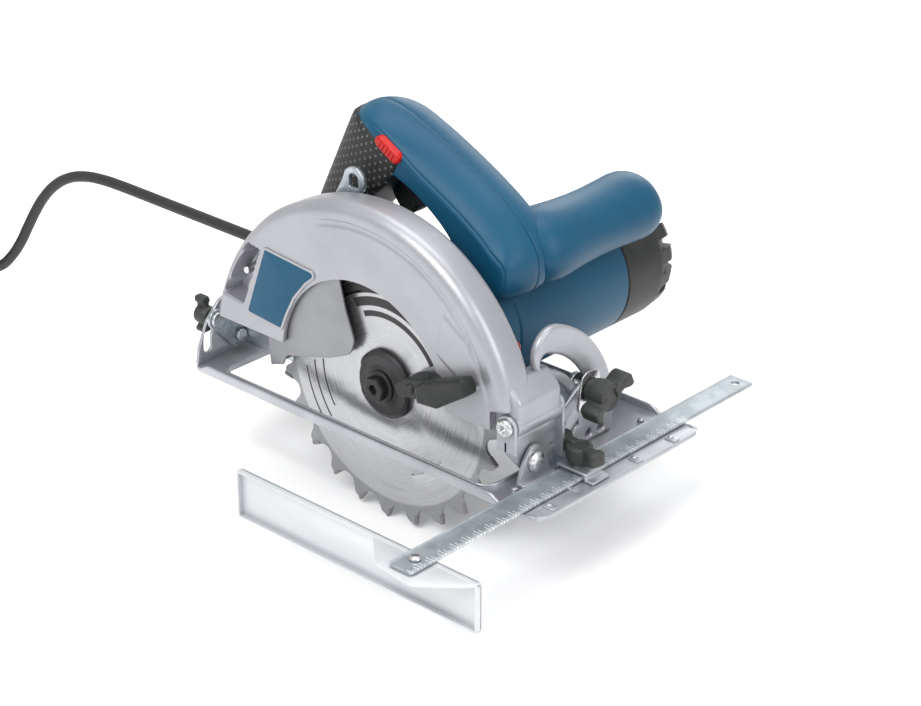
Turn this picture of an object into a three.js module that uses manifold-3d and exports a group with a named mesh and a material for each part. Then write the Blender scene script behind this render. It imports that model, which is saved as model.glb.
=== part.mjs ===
// Circular saw with a 190 mm blade, on a base plate that tilts and sets the depth of cut.
// Millimetres. +X is the cutting direction, +Y runs from the blade to the motor, +Z is up.
// The origin is the centre of the base plate's sole.
import * as THREE from 'three';
import { mergeVertices } from 'three/addons/utils/BufferGeometryUtils.js';
import Module from 'manifold-3d';

const wasm = await Module();
wasm.setup();

// ---------------------------------------------------------------- driving dimensions
const GAP = 0.3;                                  // between pieces that touch
const PLATE = { length: 304, width: 156, sheet: 2.5, corner: 10, rimHeight: 6.5, rimWall: 2.2 };
const WINDOW = { rear: -129, front: 104, near: -70, far: -8, corner: 9, rimHeight: 4.5, rimWall: 2 };
const BLADE = { diameter: 190, body: 2, bore: 30, teeth: 24, y: -55, gullet: 11 };
const SPINDLE = { x: 7, z: 35, radius: 7.7 };
const MOTOR = { x: 19.5, z: 62, radius: 44, wall: 3, start: -9.7, seam: 112, end: 165 };
const BEVEL = { y: -41, z: 15, slotRadius: 60, boltAngle: 27, travel: 45 };
const DEPTH = { x: 112, z: 44, armRadius: 185, armHalf: 7, slotHalf: 3.2, boltAngle: -2, down: 4, up: 32 };
const GUARD = { near: -66, far: -38, wall: 3, cavity: 103, rounding: 8 };
const HUB = { outer: 19.7, inner: 16.5, end: -47.7 };
const LOWER = { radius: 99.5, sheet: 1.6, near: -62.4, far: -44.4, from: 12, to: 190 };
const GEARS = { wheelTeeth: 45, pinionTeeth: 9, from: -30, to: -21 };
const CASE = { from: -37.7, to: -10, wall: 2.5, backWall: 9, near: 26.8 };
const HANDLE = { from: -24, to: 22, seam: 2, rounding: 6 };
const BAR = { x: 131, width: 18, thick: 2.5, z: 2.8, near: -174, far: 148 };
const FENCE = { rear: -24, front: 173, y: -151, top: 2.4, height: 32, lip: 5, sheet: 1.6 };
const CORD = { radius: 4, floor: -60, coilMiddle: 44, coilBand: 34, coilHeight: 32.4 };
const GLAND = { y: 2, z: 62, root: -124, tip: -172 };

// ---------------------------------------------------------------- solids
const RAD = Math.PI / 180;
const around = (cx, cy, r, degrees) => [cx + r * Math.cos(degrees * RAD), cy + r * Math.sin(degrees * RAD)];

function weld(geometry) {
  const bare = geometry.clone();
  bare.deleteAttribute('normal');
  bare.deleteAttribute('uv');
  return mergeVertices(bare, 1e-4);
}

function signedVolume(points, triangles) {
  const corner = (n) => new THREE.Vector3().fromArray(points, 3 * n);
  let sum = 0;
  for (let i = 0; i < triangles.length; i += 3) {
    const [a, b, c] = [triangles[i], triangles[i + 1], triangles[i + 2]].map(corner);
    sum += a.dot(b.cross(c));
  }
  return sum;
}

// A closed solid from a geometry, with its faces pointing out.
function solid(geometry) {
  const welded = weld(geometry);
  const points = Float32Array.from(welded.attributes.position.array);
  const all = welded.index.array;
  const triangles = [];
  for (let i = 0; i < all.length; i += 3) {
    const [a, b, c] = [all[i], all[i + 1], all[i + 2]];
    if (a !== b && b !== c && c !== a) triangles.push(a, b, c);
  }
  if (signedVolume(points, triangles) < 0) triangles.reverse();
  const mesh = new wasm.Mesh({ numProp: 3, vertProperties: points, triVerts: Uint32Array.from(triangles) });
  return new wasm.Manifold(mesh);
}

function geometryOf(body) {
  const mesh = body.getMesh();
  const geometry = new THREE.BufferGeometry();
  geometry.setAttribute('position', new THREE.BufferAttribute(Float32Array.from(mesh.vertProperties), 3));
  geometry.setIndex(Array.from(mesh.triVerts));
  return geometry;
}

const join = (first, ...others) => others.reduce((sum, one) => sum.add(one), first);
const cut = (first, ...others) => others.reduce((sum, one) => sum.subtract(one), first);

function outline(points) {
  return new THREE.Shape(points.map(([a, b]) => new THREE.Vector2(a, b)));
}

function roundedRectangle(a0, a1, b0, b1, r) {
  const shape = new THREE.Shape();
  shape.moveTo(a0 + r, b0).lineTo(a1 - r, b0).absarc(a1 - r, b0 + r, r, -Math.PI / 2, 0);
  shape.lineTo(a1, b1 - r).absarc(a1 - r, b1 - r, r, 0, Math.PI / 2);
  shape.lineTo(a0 + r, b1).absarc(a0 + r, b1 - r, r, Math.PI / 2, Math.PI);
  return shape.lineTo(a0, b0 + r).absarc(a0 + r, b0 + r, r, Math.PI, 1.5 * Math.PI);
}

// A band between two radii, from one angle to another, with round ends when asked.
function bandPoints(cx, cy, inner, outer, from, to, roundEnds = false, steps = 20) {
  const points = [];
  const middle = (inner + outer) / 2;
  const half = (outer - inner) / 2;
  for (let i = 0; i <= steps; i++) points.push(around(cx, cy, outer, from + ((to - from) * i) / steps));
  const cap = (angle, side) => {
    const [px, py] = around(cx, cy, middle, angle);
    for (let i = 1; i < 6; i++) points.push(around(px, py, half, angle + side + 30 * i));
  };
  if (roundEnds) cap(to, 0);
  for (let i = 0; i <= steps; i++) points.push(around(cx, cy, inner, to + ((from - to) * i) / steps));
  if (roundEnds) cap(from, 180);
  return points;
}

function extrude(shape, depth, rounding = 0, curveSegments = 5) {
  const inner = depth - 2 * rounding;
  const options = { depth: inner, steps: 1, curveSegments, bevelEnabled: rounding > 0 };
  const bevel = { bevelSize: rounding, bevelOffset: -rounding, bevelThickness: rounding, bevelSegments: 2 };
  const geometry = new THREE.ExtrudeGeometry(shape, rounding > 0 ? { ...options, ...bevel } : options);
  return geometry.translate(0, 0, rounding);
}

// Plates lying flat (x, y), standing along the cut (x, z) and standing across it (y, z).
const flat = (shape, z0, z1, rounding) => solid(extrude(shape, z1 - z0, rounding).translate(0, 0, z0));
const along = (shape, y0, y1, rounding) => (
  solid(extrude(shape, y1 - y0, rounding).rotateX(Math.PI / 2).translate(0, y1, 0)));
const [EX, EY, EZ] = [[1, 0, 0], [0, 1, 0], [0, 0, 1]].map((v) => new THREE.Vector3(...v));
const ACROSS = new THREE.Matrix4().makeBasis(EY, EZ, EX);
const across = (shape, x0, x1, rounding) => (
  solid(extrude(shape, x1 - x0, rounding).applyMatrix4(ACROSS).translate(x0, 0, 0)));

function box(x0, x1, y0, y1, z0, z1) {
  const geometry = new THREE.BoxGeometry(x1 - x0, y1 - y0, z1 - z0);
  return solid(geometry.translate((x0 + x1) / 2, (y0 + y1) / 2, (z0 + z1) / 2));
}

// Turned pieces: profile points are [radius, place along the axis], closed on themselves or on the axis.
const turnedGeometry = (profile, segments) => (
  new THREE.LatheGeometry(profile.map(([r, h]) => new THREE.Vector2(r, h)), segments));
const turnedY = (profile, x, z, segments = 24) => solid(turnedGeometry(profile, segments).translate(x, 0, z));
const turnedX = (profile, y, z, segments = 20) => (
  solid(turnedGeometry(profile, segments).rotateZ(-Math.PI / 2).translate(0, y, z)));
const turnedZ = (profile, x, y, segments = 20) => (
  solid(turnedGeometry(profile, segments).rotateX(Math.PI / 2).translate(x, y, 0)));
const rod = (r, from, to) => [[0, from], [r, from], [r, to], [0, to]];
const ring = (inner, outer, from, to) => [[inner, from], [outer, from], [outer, to], [inner, to], [inner, from]];
const rodY = (x, z, r, y0, y1, segments) => turnedY(rod(r, y0, y1), x, z, segments);
const rodX = (y, z, r, x0, x1, segments) => turnedX(rod(r, x0, x1), y, z, segments);
const rodZ = (x, y, r, z0, z1, segments) => turnedZ(rod(r, z0, z1), x, y, segments);

// The outline of a belt laid round two circles.
function belt(ax, az, ar, bx, bz, br) {
  const distance = Math.hypot(bx - ax, bz - az);
  const heading = Math.atan2(bz - az, bx - ax) / RAD;
  const spread = Math.acos((ar - br) / distance) / RAD;
  const points = [];
  for (let i = 0; i <= 16; i++) {
    points.push(around(bx, bz, br, heading - spread + (2 * spread * i) / 16));
  }
  for (let i = 0; i <= 16; i++) {
    points.push(around(ax, az, ar, heading + spread + ((360 - 2 * spread) * i) / 16));
  }
  return outline(points);
}

const saw = new THREE.Group();

function piece(name, body, color, roughness = 0.5, metalness = 0) {
  const material = new THREE.MeshStandardMaterial({ color, roughness, metalness });
  const geometry = body instanceof THREE.BufferGeometry ? body : geometryOf(body);
  const mesh = new THREE.Mesh(geometry, material);
  mesh.name = name;
  saw.add(mesh);
}

const STEEL = [0xb9bec4, 0.35, 0.9];
const CAST = [0xbfc1c8, 0.42, 0.7];
const PRESSED = [0xc8cbd0, 0.45, 0.6];
const ZINC = [0x8a949c, 0.4, 0.8];
const BLUE = [0x2d6991, 0.42, 0];
const BLACK = [0x303432, 0.6, 0];
const RED = [0xe61e14, 0.4, 0];
const COPPER = [0xb06a3a, 0.35, 0.9];

// ---------------------------------------------------------------- base plate and what is fixed to it
function basePlate() {
  const halfLength = PLATE.length / 2;
  const halfWidth = PLATE.width / 2;
  const whole = roundedRectangle(-halfLength, halfLength, -halfWidth, halfWidth, PLATE.corner);
  const w = WINDOW;
  const opening = (grow, z1) => flat(
    roundedRectangle(w.rear - grow, w.front + grow, w.near - grow, w.far + grow, w.corner + grow), -1, z1);
  const windowRim = opening(w.rimWall, w.rimHeight).intersect(box(-200, 200, -90, 90, 1, 10));
  const rimEnd = halfLength - PLATE.corner;
  const nearRim = box(-rimEnd, rimEnd, -halfWidth, PLATE.rimWall - halfWidth, 1, PLATE.rimHeight);
  const farRim = box(-rimEnd, rimEnd, halfWidth - PLATE.rimWall, halfWidth, 1, PLATE.rimHeight);
  const channel = box(BAR.x - BAR.width / 2 - 0.5, BAR.x + BAR.width / 2 + 0.5, -PLATE.width, PLATE.width,
    PLATE.sheet, 20);
  const sheet = flat(whole, 0, PLATE.sheet);
  return cut(join(sheet, nearRim, farRim, windowRim), opening(0, 20), channel);
}

const QUADRANT = { x0: 104.5, x1: 109.5, inner: 49, outer: 83, slot: 4.6, end: 69 };
function bevelQuadrant() {
  const { y, z, slotRadius, boltAngle, travel } = BEVEL;
  const band = bandPoints(y, z, QUADRANT.inner, QUADRANT.outer, -4, QUADRANT.end + 2);
  const [endY, endZ] = around(y, z, (QUADRANT.inner + QUADRANT.outer) / 2, QUADRANT.end);
  const slotBand = bandPoints(y, z, slotRadius - QUADRANT.slot, slotRadius + QUADRANT.slot,
    boltAngle - 2, boltAngle + travel + 2, true);
  const foot = outline([[-3, PLATE.sheet], [46, PLATE.sheet], [44, 30], [9, 30], [1, 17], [-3, 10]]);
  const roundEnd = rodX(endY, endZ, (QUADRANT.outer - QUADRANT.inner) / 2, QUADRANT.x0, QUADRANT.x1, 28);
  const arc = join(across(outline(band), QUADRANT.x0, QUADRANT.x1), roundEnd,
    across(foot, QUADRANT.x0, QUADRANT.x1));
  const flange = box(86, QUADRANT.x0 + 1, -3, 46, PLATE.sheet + GAP, PLATE.sheet + GAP + 2.5);
  const above = box(0, 200, -200, 200, PLATE.sheet + GAP, 200);
  return cut(join(arc, flange).intersect(above), across(outline(slotBand), 100, 115));
}

function frontEar() {
  const { y, z } = BEVEL;
  const shape = outline([[y - 15, PLATE.sheet + GAP], [y + 15, PLATE.sheet + GAP], ...[0, 30, 60, 90, 120, 150, 180]
    .map((a) => around(y, z, 9.5, a))]);
  const plate = across(shape, 114, 116.5);
  const foot = box(114, BAR.x - BAR.width / 2 - 0.8, y - 15, y + 15, PLATE.sheet + GAP, PLATE.sheet + GAP + 2);
  return cut(join(plate, foot), rodX(y, z, 3.8, 110, 120));
}

function frontRivet() {
  const profile = [[0, 109.7], [5.5, 109.7], [5.5, 110.2], [3.5, 110.2], [3.5, 116.8], [6.5, 116.8], [6.2, 118],
    [4.8, 119.4], [2.6, 120.2], [0, 120.5]];
  return turnedX(profile, BEVEL.y, BEVEL.z, 16);
}

const REAR = 2 - PLATE.length / 2;                 // the rear upright's outer face
const UPRIGHT = { x0: REAR, x1: REAR + 2.5, slotRadius: 25.5, boltAngle: 138 };
function rearUpright() {
  const { y, z } = BEVEL;
  const low = PLATE.sheet + GAP;
  const shape = outline([[-76, low], [-12, low], [-16, 22], [-24, 36], [-40, 46], [-54, 44], [-66, 32],
    [-74, 14]]);
  const slot = bandPoints(y, z, UPRIGHT.slotRadius - 3.3, UPRIGHT.slotRadius + 3.3, UPRIGHT.boltAngle - 2,
    UPRIGHT.boltAngle + BEVEL.travel + 2, true);
  const foot = box(UPRIGHT.x0, UPRIGHT.x1 + 11, -14, 30, low, low + 2);
  const plate = join(across(shape, UPRIGHT.x0, UPRIGHT.x1), foot);
  return cut(plate, across(outline(slot), REAR - 10, REAR + 10), rodX(y, z, 3.3, REAR - 10, REAR + 4));
}

const rearPivotScrew = () => turnedX([[0, REAR - 4], [6, REAR - 4], [6, REAR - GAP], [3, REAR - GAP],
  [3, REAR + 6.2], [4.2, REAR + 6.2], [4.2, REAR + 9], [0, REAR + 9]], BEVEL.y, BEVEL.z, 20);

const CLAMP = { y: -17, roof: 6.6 };
function clampBridge() {
  const halfBar = BAR.width / 2 + 0.8;
  const low = PLATE.sheet + GAP;
  const outer = box(BAR.x - halfBar - 8, BAR.x + halfBar + 8, CLAMP.y - 8, CLAMP.y + 8, low, CLAMP.roof + 1.8);
  const tunnel = box(BAR.x - halfBar, BAR.x + halfBar, -40, 10, 0, CLAMP.roof);
  const shoulders = [-1, 1].map((side) => {
    const edge = BAR.x + side * (halfBar + 1.8);
    return box(Math.min(edge, edge + side * 9), Math.max(edge, edge + side * 9), -40, 10, low + 1.8, 20);
  });
  return cut(outer, tunnel, ...shoulders, rodZ(BAR.x, CLAMP.y, 3.4, 0, 20));
}

// ---------------------------------------------------------------- frame that tilts on the base
function frontTiltBracket() {
  const { y, z } = BEVEL;
  const [boltY, boltZ] = around(y, z, BEVEL.slotRadius, BEVEL.boltAngle);
  const below = DEPTH.z - 10;
  const knuckle = [-50, -80, -110, -140].map((a) => around(y, z, 9, a)).reverse();
  const eye = [-60, -30, 0, 30, 60, 90, 120].map((a) => around(boltY, boltZ, 9, a));
  const shape = outline([[-62.8, below], [-62.8, 27], ...knuckle, [-17.2, 10], ...eye, [-17.2, below]]);
  const plate = across(shape, 110.5, 113);
  const ear = (y0, y1, low) => join(
    along(outline([[104.5, low], [119.5, low], [119.5, DEPTH.z], [104.5, DEPTH.z]]), y0, y1),
    rodY(DEPTH.x, DEPTH.z, 7.5, y0, y1, 28));
  const bracket = join(plate, ear(-62.8, -60.3, 27), ear(-19.7, -17.2, 27));
  return cut(bracket, rodY(DEPTH.x, DEPTH.z, 4.1, -70, -10), rodX(y, z, 3.8, 105, 120),
    rodX(boltY, boltZ, 4, 105, 120));
}

const depthPin = () => turnedY([[0, -65.6], [6, -65.6], [6, -63.1], [3.8, -63.1], [3.8, -16.9], [6, -16.9],
  [6, -14.6], [0, -14.6]], DEPTH.x, DEPTH.z, 24);

// The arm's slot spans the bolt's whole swing and a little more at each end.
const armPoint = (r, angle) => around(DEPTH.x, DEPTH.z, r, 180 - angle);
function depthArm() {
  const { x, z: pivotZ, armRadius, slotHalf, armHalf } = DEPTH;
  const top = 180 - (DEPTH.up + DEPTH.boltAngle + 1.2);
  const low = 180 + DEPTH.down - DEPTH.boltAngle + 1.2;
  const lug = top - 4.5;
  const band = bandPoints(x, pivotZ, armRadius - armHalf, armRadius + armHalf, lug, low + 3.8, false, 16);
  const [topX, topZ] = around(x, pivotZ, armRadius, lug);
  const slot = bandPoints(x, pivotZ, armRadius - slotHalf, armRadius + slotHalf, top, low, true, 14);
  const [y0, y1] = [-36.5, -33.5];
  const [strapRear, strapFront] = [REAR + 3.3, REAR + 5.8];
  const bar = outline([[strapFront - GAP, 7.5], [-62, 7.5], [-66, 20], [strapFront - GAP, 20]]);
  const upright = join(along(outline(band), y0, y1), rodY(topX, topZ, armHalf + 1.5, y0, y1, 20), along(bar, y0, y1));
  const { y, z } = BEVEL;
  const [boltY, boltZ] = around(y, z, UPRIGHT.slotRadius, UPRIGHT.boltAngle);
  const rear = join(across(belt(y, z, 9, boltY, boltZ, 7), strapRear, strapFront),
    across(outline([[y, z - 7.5], [y1, z - 7.5], [y1, z + 5], [y, z + 5]]), strapRear, strapFront));
  const holes = [along(outline(slot), -40, -30), rodX(y, z, 3.3, REAR, REAR + 10),
    rodX(boltY, boltZ, 3.1, REAR, REAR + 10)];
  return cut(join(upright, rear), ...holes);
}

function bevelBolt() {
  const [boltY, boltZ] = around(BEVEL.y, BEVEL.z, BEVEL.slotRadius, BEVEL.boltAngle);
  const profile = [[0, 100], [8, 100], [8, 104.1], [3.6, 104.1], [3.6, 124], [0, 124]];
  return turnedX(profile, boltY, boltZ, 20);
}

function rearClampBolt() {
  const [boltY, boltZ] = around(BEVEL.y, BEVEL.z, UPRIGHT.slotRadius, UPRIGHT.boltAngle);
  const profile = [[0, REAR - 8], [2.8, REAR - 8], [2.8, REAR + 6], [5.5, REAR + 6], [5.5, REAR + 8],
    [0, REAR + 8]];
  return turnedX(profile, boltY, boltZ, 20);
}

// ---------------------------------------------------------------- knobs and levers
// A wing knob about +Z standing on z = 0: a hub with two wings and a blind hole for its bolt.
function wingKnob(hubRadius, height, wingRadius, wingThick, boltRadius, boltDepth) {
  const wing = outline([[0, -wingThick / 2], [wingRadius - 3, -wingThick / 2 - 1], [wingRadius, -wingThick / 3],
    [wingRadius, wingThick / 3], [wingRadius - 3, wingThick / 2 + 1], [0, wingThick / 2]]);
  const half = (angle) => solid(extrude(wing, height * 0.8, 0.8).rotateZ(angle).translate(0, 0, height * 0.3));
  const hub = turnedZ([[0, 0], [hubRadius * 0.8, 0], [hubRadius, height * 0.3], [hubRadius, height],
    [0, height]], 0, 0, 24);
  const bore = rodZ(0, 0, boltRadius + GAP, -1, boltDepth, 16);
  return cut(join(hub, half(0.35), half(Math.PI - 0.35)), bore);
}

function bevelWingKnob() {
  const [boltY, boltZ] = around(BEVEL.y, BEVEL.z, BEVEL.slotRadius, BEVEL.boltAngle);
  const knob = geometryOf(wingKnob(9, 17, 19, 7, 3.6, 12));
  return knob.rotateZ(0.5).applyMatrix4(ACROSS).translate(113.3, boltY, boltZ);
}

function rearBevelKnob() {
  const [boltY, boltZ] = around(BEVEL.y, BEVEL.z, UPRIGHT.slotRadius, UPRIGHT.boltAngle);
  const knob = geometryOf(wingKnob(6.5, 11, 13, 5, 2.8, 8.5));
  return knob.rotateZ(-Math.PI / 2).applyMatrix4(ACROSS).rotateZ(Math.PI).translate(REAR - GAP, boltY, boltZ);
}

function guideWingKnob() {
  const knob = solid(geometryOf(wingKnob(8, 12, 17, 7, 2.4, 0)).rotateZ(-0.5)
    .translate(BAR.x, CLAMP.y, CLAMP.roof + 2.4));
  const top = CLAMP.roof + 6;
  return join(knob, rodZ(BAR.x, CLAMP.y, 3, BAR.z + BAR.thick + 0.4, top, 20));
}

function depthLever() {
  const [boltX, boltZ] = armPoint(DEPTH.armRadius, DEPTH.boltAngle);
  const arm = outline([[boltX + 5, boltZ - 7], [boltX - 38, boltZ - 2], [boltX - 44, boltZ + 2],
    [boltX - 42, boltZ + 8], [boltX - 36, boltZ + 9], [boltX + 5, boltZ + 7]]);
  const lever = join(along(arm, -30, -24.4, 1), rodY(boltX, boltZ, 9, -31.6, -24.4, 24));
  return cut(lever, rodY(boltX, boltZ, 3, -40, -25.2, 16));
}

function depthClampBolt() {
  const [x, z] = armPoint(DEPTH.armRadius, DEPTH.boltAngle);
  return turnedY([[0, -43.4], [5, -43.4], [5, -41.3], [2.7, -41.3], [2.7, -25.6], [0, -25.6]], x, z, 20);
}

// ---------------------------------------------------------------- upper guard
// The rim is a spiral round the spindle: [angle, radius].
const RIM = [[8, 109], [20, 110], [32, 110], [44, 110.5], [56, 111.5], [68, 113], [80, 114.5], [92, 116.5],
  [104, 119], [116, 122], [127, 126], [136, 130], [143, 132.5]];
const TAIL = [[-104, 109], [-121, 88], [-132, 66], [-141, 43]];
const GUARD_FLOOR = 40;

function upperGuard() {
  const rim = RIM.map(([angle, r]) => around(SPINDLE.x, SPINDLE.z, r, angle));
  const shape = outline([[103, 37], ...rim, ...TAIL, [-76, GUARD_FLOOR], [0, GUARD_FLOOR], [84, GUARD_FLOOR]]);
  const body = along(shape, GUARD.near, GUARD.far, GUARD.rounding);
  const lowHub = rodY(SPINDLE.x, SPINDLE.z, 28, GUARD.far - GUARD.wall, GUARD.far, 36);
  const [boltX, boltZ] = armPoint(DEPTH.armRadius, DEPTH.boltAngle);
  const boltBoss = along(belt(boltX, boltZ, 8, boltX + 10, boltZ + 14, 14), GUARD.far - GUARD.wall, GUARD.far);
  const cavity = rodY(SPINDLE.x, SPINDLE.z, GUARD.cavity, GUARD.near + GUARD.wall, GUARD.far - GUARD.wall, 60);
  const arch = rodY(-5, 31, 71, GUARD.near - 4, GUARD.near + GUARD.wall + 1, 44);
  const notch = box(69, 85, GUARD.near - 4, GUARD.near + GUARD.wall + 1, 20, 43);
  const pocket = along(outline([[-106, 101], [-93, 100], [-111, 55], [-132, 57]]), GUARD.near - 4, -46);
  const frontFloor = box(60, 103, GUARD.near + GUARD.wall, GUARD.far - GUARD.wall, 20, 60);
  const nearCorner = box(102, 130, GUARD.near - 1, -60, 20, 54);
  const earRoom = join(rodY(DEPTH.x, DEPTH.z, 9.4, -80, -60, 28), rodY(DEPTH.x, DEPTH.z, 9.4, -20, -10, 28));
  const shell = cut(join(body, lowHub, boltBoss), cavity, arch, notch, pocket, frontFloor, nearCorner);
  const barrel = rodY(DEPTH.x, DEPTH.z, 8.5, -60, -20, 28);
  const neck = along(outline([[105.2, 50], [105.2, 66], [114, 66], [116, 50]]), -60, GUARD.far);
  const web = along(outline([[103.6, 37], [104, 60], [112, 60], [112, 40]]), GUARD.far - 2, -30);
  const hub = turnedY(ring(HUB.inner, HUB.outer, HUB.end, GUARD.far - 1), SPINDLE.x, SPINDLE.z, 40);
  const whole = join(cut(shell, earRoom), barrel, neck, web, hub);
  const spindleHole = rodY(SPINDLE.x, SPINDLE.z, HUB.inner, -60, -30, 40);
  const pinHole = rodY(DEPTH.x, DEPTH.z, 4, -90, 0, 24);
  return cut(whole, spindleHole, pinHole, rodY(boltX, boltZ, 3, -50, -30, 16));
}

const labelPanel = () => {
  const shape = [[-88, 100], [-42, 96], [-52, 88], [-63, 75], [-71, 60], [-75.5, 50], [-106, 53]];
  return along(outline(shape), GUARD.near - 0.9, GUARD.near - GAP);
};

// ---------------------------------------------------------------- lower guard, shown pushed back
function sector(inner, outer, from, to, steps = 24) {
  return outline(bandPoints(SPINDLE.x, SPINDLE.z, inner, outer, from, to, false, steps));
}

// The near sheet's free edge runs from the rim towards the spindle and back: [radius, angle].
const NEAR_EDGE = [[84, 184], [71, 182], [44, 173], [30, 150], [34, 133], [52, 123], [81, 117]];

function lowerGuard() {
  const { radius, sheet, near, far, from, to } = LOWER;
  const rim = along(sector(radius - 2, radius, from, to), near, far + 0.01);
  const nearRing = along(sector(80, radius, from, to), near, near + sheet);
  const outerEdge = [117, 130, 143, 156, 170, 184].map((angle) => [radius - 1, angle]);
  const corners = [...outerEdge, ...NEAR_EDGE].map(([r, angle]) => around(SPINDLE.x, SPINDLE.z, r, angle));
  const nearPlate = along(outline(corners), near, near + sheet);
  const leverArm = along(sector(30, radius, 16, 33), near, near + sheet);
  const farPlate = along(sector(HUB.outer + 1, radius, from, to), far - sheet, far);
  const collar = turnedY(ring(HUB.outer + GAP, HUB.outer + 8, far - sheet, far), SPINDLE.x, SPINDLE.z, 40);
  return join(rim, nearRing, nearPlate, leverArm, farPlate, collar);
}

function guardLever() {
  const at = (r, a) => around(SPINDLE.x, SPINDLE.z, r, a);
  const block = outline([at(31, 17), at(44, 15), at(62, 12), at(66, 18), at(60, 28), at(42, 33), at(31, 32)]);
  const neck = outline([at(32, 18), at(45, 16), at(45, 32), at(32, 31)]);
  const bar = outline([at(50, 14), at(66, 12), at(94, 19), at(94, 25), at(64, 27), at(52, 26)]);
  const base = LOWER.near - GAP;
  return join(along(neck, -72, base), along(block, -77, -67, 1), along(bar, -81, -70, 1.5));
}

const guardSpring = () => {
  const section = [0, 60, 120, 180, 240, 300, 0].map((a) => around(23.6, -42.8, 1.1, a));
  return turnedY(section, SPINDLE.x, SPINDLE.z, 24);
};

// ---------------------------------------------------------------- blade and its clamping
function bladeOutline() {
  const shape = [];
  const pitch = 360 / BLADE.teeth;
  const r = BLADE.diameter / 2;
  const root = r - BLADE.gullet;
  // Going round with the teeth: tip, hooked face, round gullet, shoulder, back of the next tooth.
  const tooth = [[0, 0], [1.6, -6.2], [3.4, -9.9], [6.2, -11], [9, -9.4], [10.3, -5.6], [11.4, -2.2],
    [13.4, -1.1]];
  for (let i = 0; i < BLADE.teeth; i++) {
    tooth.forEach(([turn, drop]) => shape.push(around(SPINDLE.x, SPINDLE.z,
      Math.max(r + drop, root), (i * pitch) + turn)));
  }
  return outline(shape);
}

function expansionSlot(angle) {
  return along(sector(60, 61.2, angle, angle + 34, 8), BLADE.y - 4, BLADE.y + 4);
}

function blade() {
  const half = BLADE.body / 2;
  const disc = along(bladeOutline(), BLADE.y - half, BLADE.y + half);
  const bore = rodY(SPINDLE.x, SPINDLE.z, BLADE.bore / 2, BLADE.y - 4, BLADE.y + 4, 36);
  return cut(disc, bore, ...[20, 110, 200, 290].map(expansionSlot));
}

const bladeNear = BLADE.y - BLADE.body / 2;
const bladeFar = BLADE.y + BLADE.body / 2;
const shaftHole = SPINDLE.radius + GAP;
const innerFlange = () => turnedY([[shaftHole, BLADE.y - 0.6], [BLADE.bore / 2 - GAP, BLADE.y - 0.6],
  [BLADE.bore / 2 - GAP, bladeFar + GAP], [22, bladeFar + GAP], [22, -50.5], [12, -48.4], [shaftHole, -48.4],
  [shaftHole, BLADE.y - 0.6]], SPINDLE.x, SPINDLE.z, 36);
const outerFlange = () => cut(turnedY([[shaftHole, bladeNear - GAP], [22.5, bladeNear - GAP], [22.5, -58.4],
  [20, -60.4], [12, -61.4], [shaftHole, -61.4], [shaftHole, bladeNear - GAP]], SPINDLE.x, SPINDLE.z, 36),
box(SPINDLE.x + 20, SPINDLE.x + 30, -70, -50, 0, 70), box(SPINDLE.x - 30, SPINDLE.x - 20, -70, -50, 0, 70));
const boltWasher = () => turnedY(ring(4.6, 11, -63.6, -61.7), SPINDLE.x, SPINDLE.z, 28);
function bladeBolt() {
  const head = along(outline([0, 60, 120, 180, 240, 300].map((a) => (
    around(SPINDLE.x, SPINDLE.z, 7.5, a)))), -68.4, -63.9);
  const socket = along(outline([0, 60, 120, 180, 240, 300].map((a) => (
    around(SPINDLE.x, SPINDLE.z, 3.4, a)))), -70, -65.5);
  return cut(join(head, rodY(SPINDLE.x, SPINDLE.z, 4, -64.5, -42, 20)), socket);
}

// ---------------------------------------------------------------- gear train
const spindle = () => cut(rodY(SPINDLE.x, SPINDLE.z, SPINDLE.radius, -60.5, -11, 28),
  rodY(SPINDLE.x, SPINDLE.z, 4.3, -62, -41, 20));
const spindleBearing = () => turnedY(ring(shaftHole, HUB.inner - GAP, -46.5, -38.2), SPINDLE.x, SPINDLE.z);
const spindleBush = () => turnedY(ring(shaftHole, 11, -18.7, -11), SPINDLE.x, SPINDLE.z, 28);

const centreDistance = Math.hypot(MOTOR.x - SPINDLE.x, MOTOR.z - SPINDLE.z);
const gearModule = (2 * centreDistance) / (GEARS.wheelTeeth + GEARS.pinionTeeth);
const lineOfCentres = Math.atan2(MOTOR.z - SPINDLE.z, MOTOR.x - SPINDLE.x) / RAD;

function gearOutline(cx, cz, teeth, start) {
  const pitchRadius = (gearModule * teeth) / 2;
  const pitch = 360 / teeth;
  const root = pitchRadius - 1.2 * gearModule;
  const tip = pitchRadius + 0.7 * gearModule;
  const points = [];
  for (let i = 0; i < teeth; i++) {
    const middle = start + i * pitch;
    const corner = (r, share) => points.push(around(cx, cz, r, middle + share * pitch));
    corner(root, -0.3);
    corner(tip, -0.1);
    corner(tip, 0.1);
    corner(root, 0.3);
  }
  return outline(points);
}

function driveGear() {
  const teeth = gearOutline(SPINDLE.x, SPINDLE.z, GEARS.wheelTeeth, lineOfCentres);
  return cut(along(teeth, GEARS.from, GEARS.to), rodY(SPINDLE.x, SPINDLE.z, shaftHole, -40, 0, 28));
}

function armatureShaft() {
  const half = 180 / GEARS.pinionTeeth;
  const teeth = gearOutline(MOTOR.x, MOTOR.z, GEARS.pinionTeeth, lineOfCentres + 180 + half);
  const neck = rodY(MOTOR.x, MOTOR.z, 3.4, GEARS.to, -18.5, 16);
  return join(along(teeth, GEARS.from - 1, GEARS.to + 1), neck, rodY(MOTOR.x, MOTOR.z, 5, -18.9, 127, 20));
}

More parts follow.
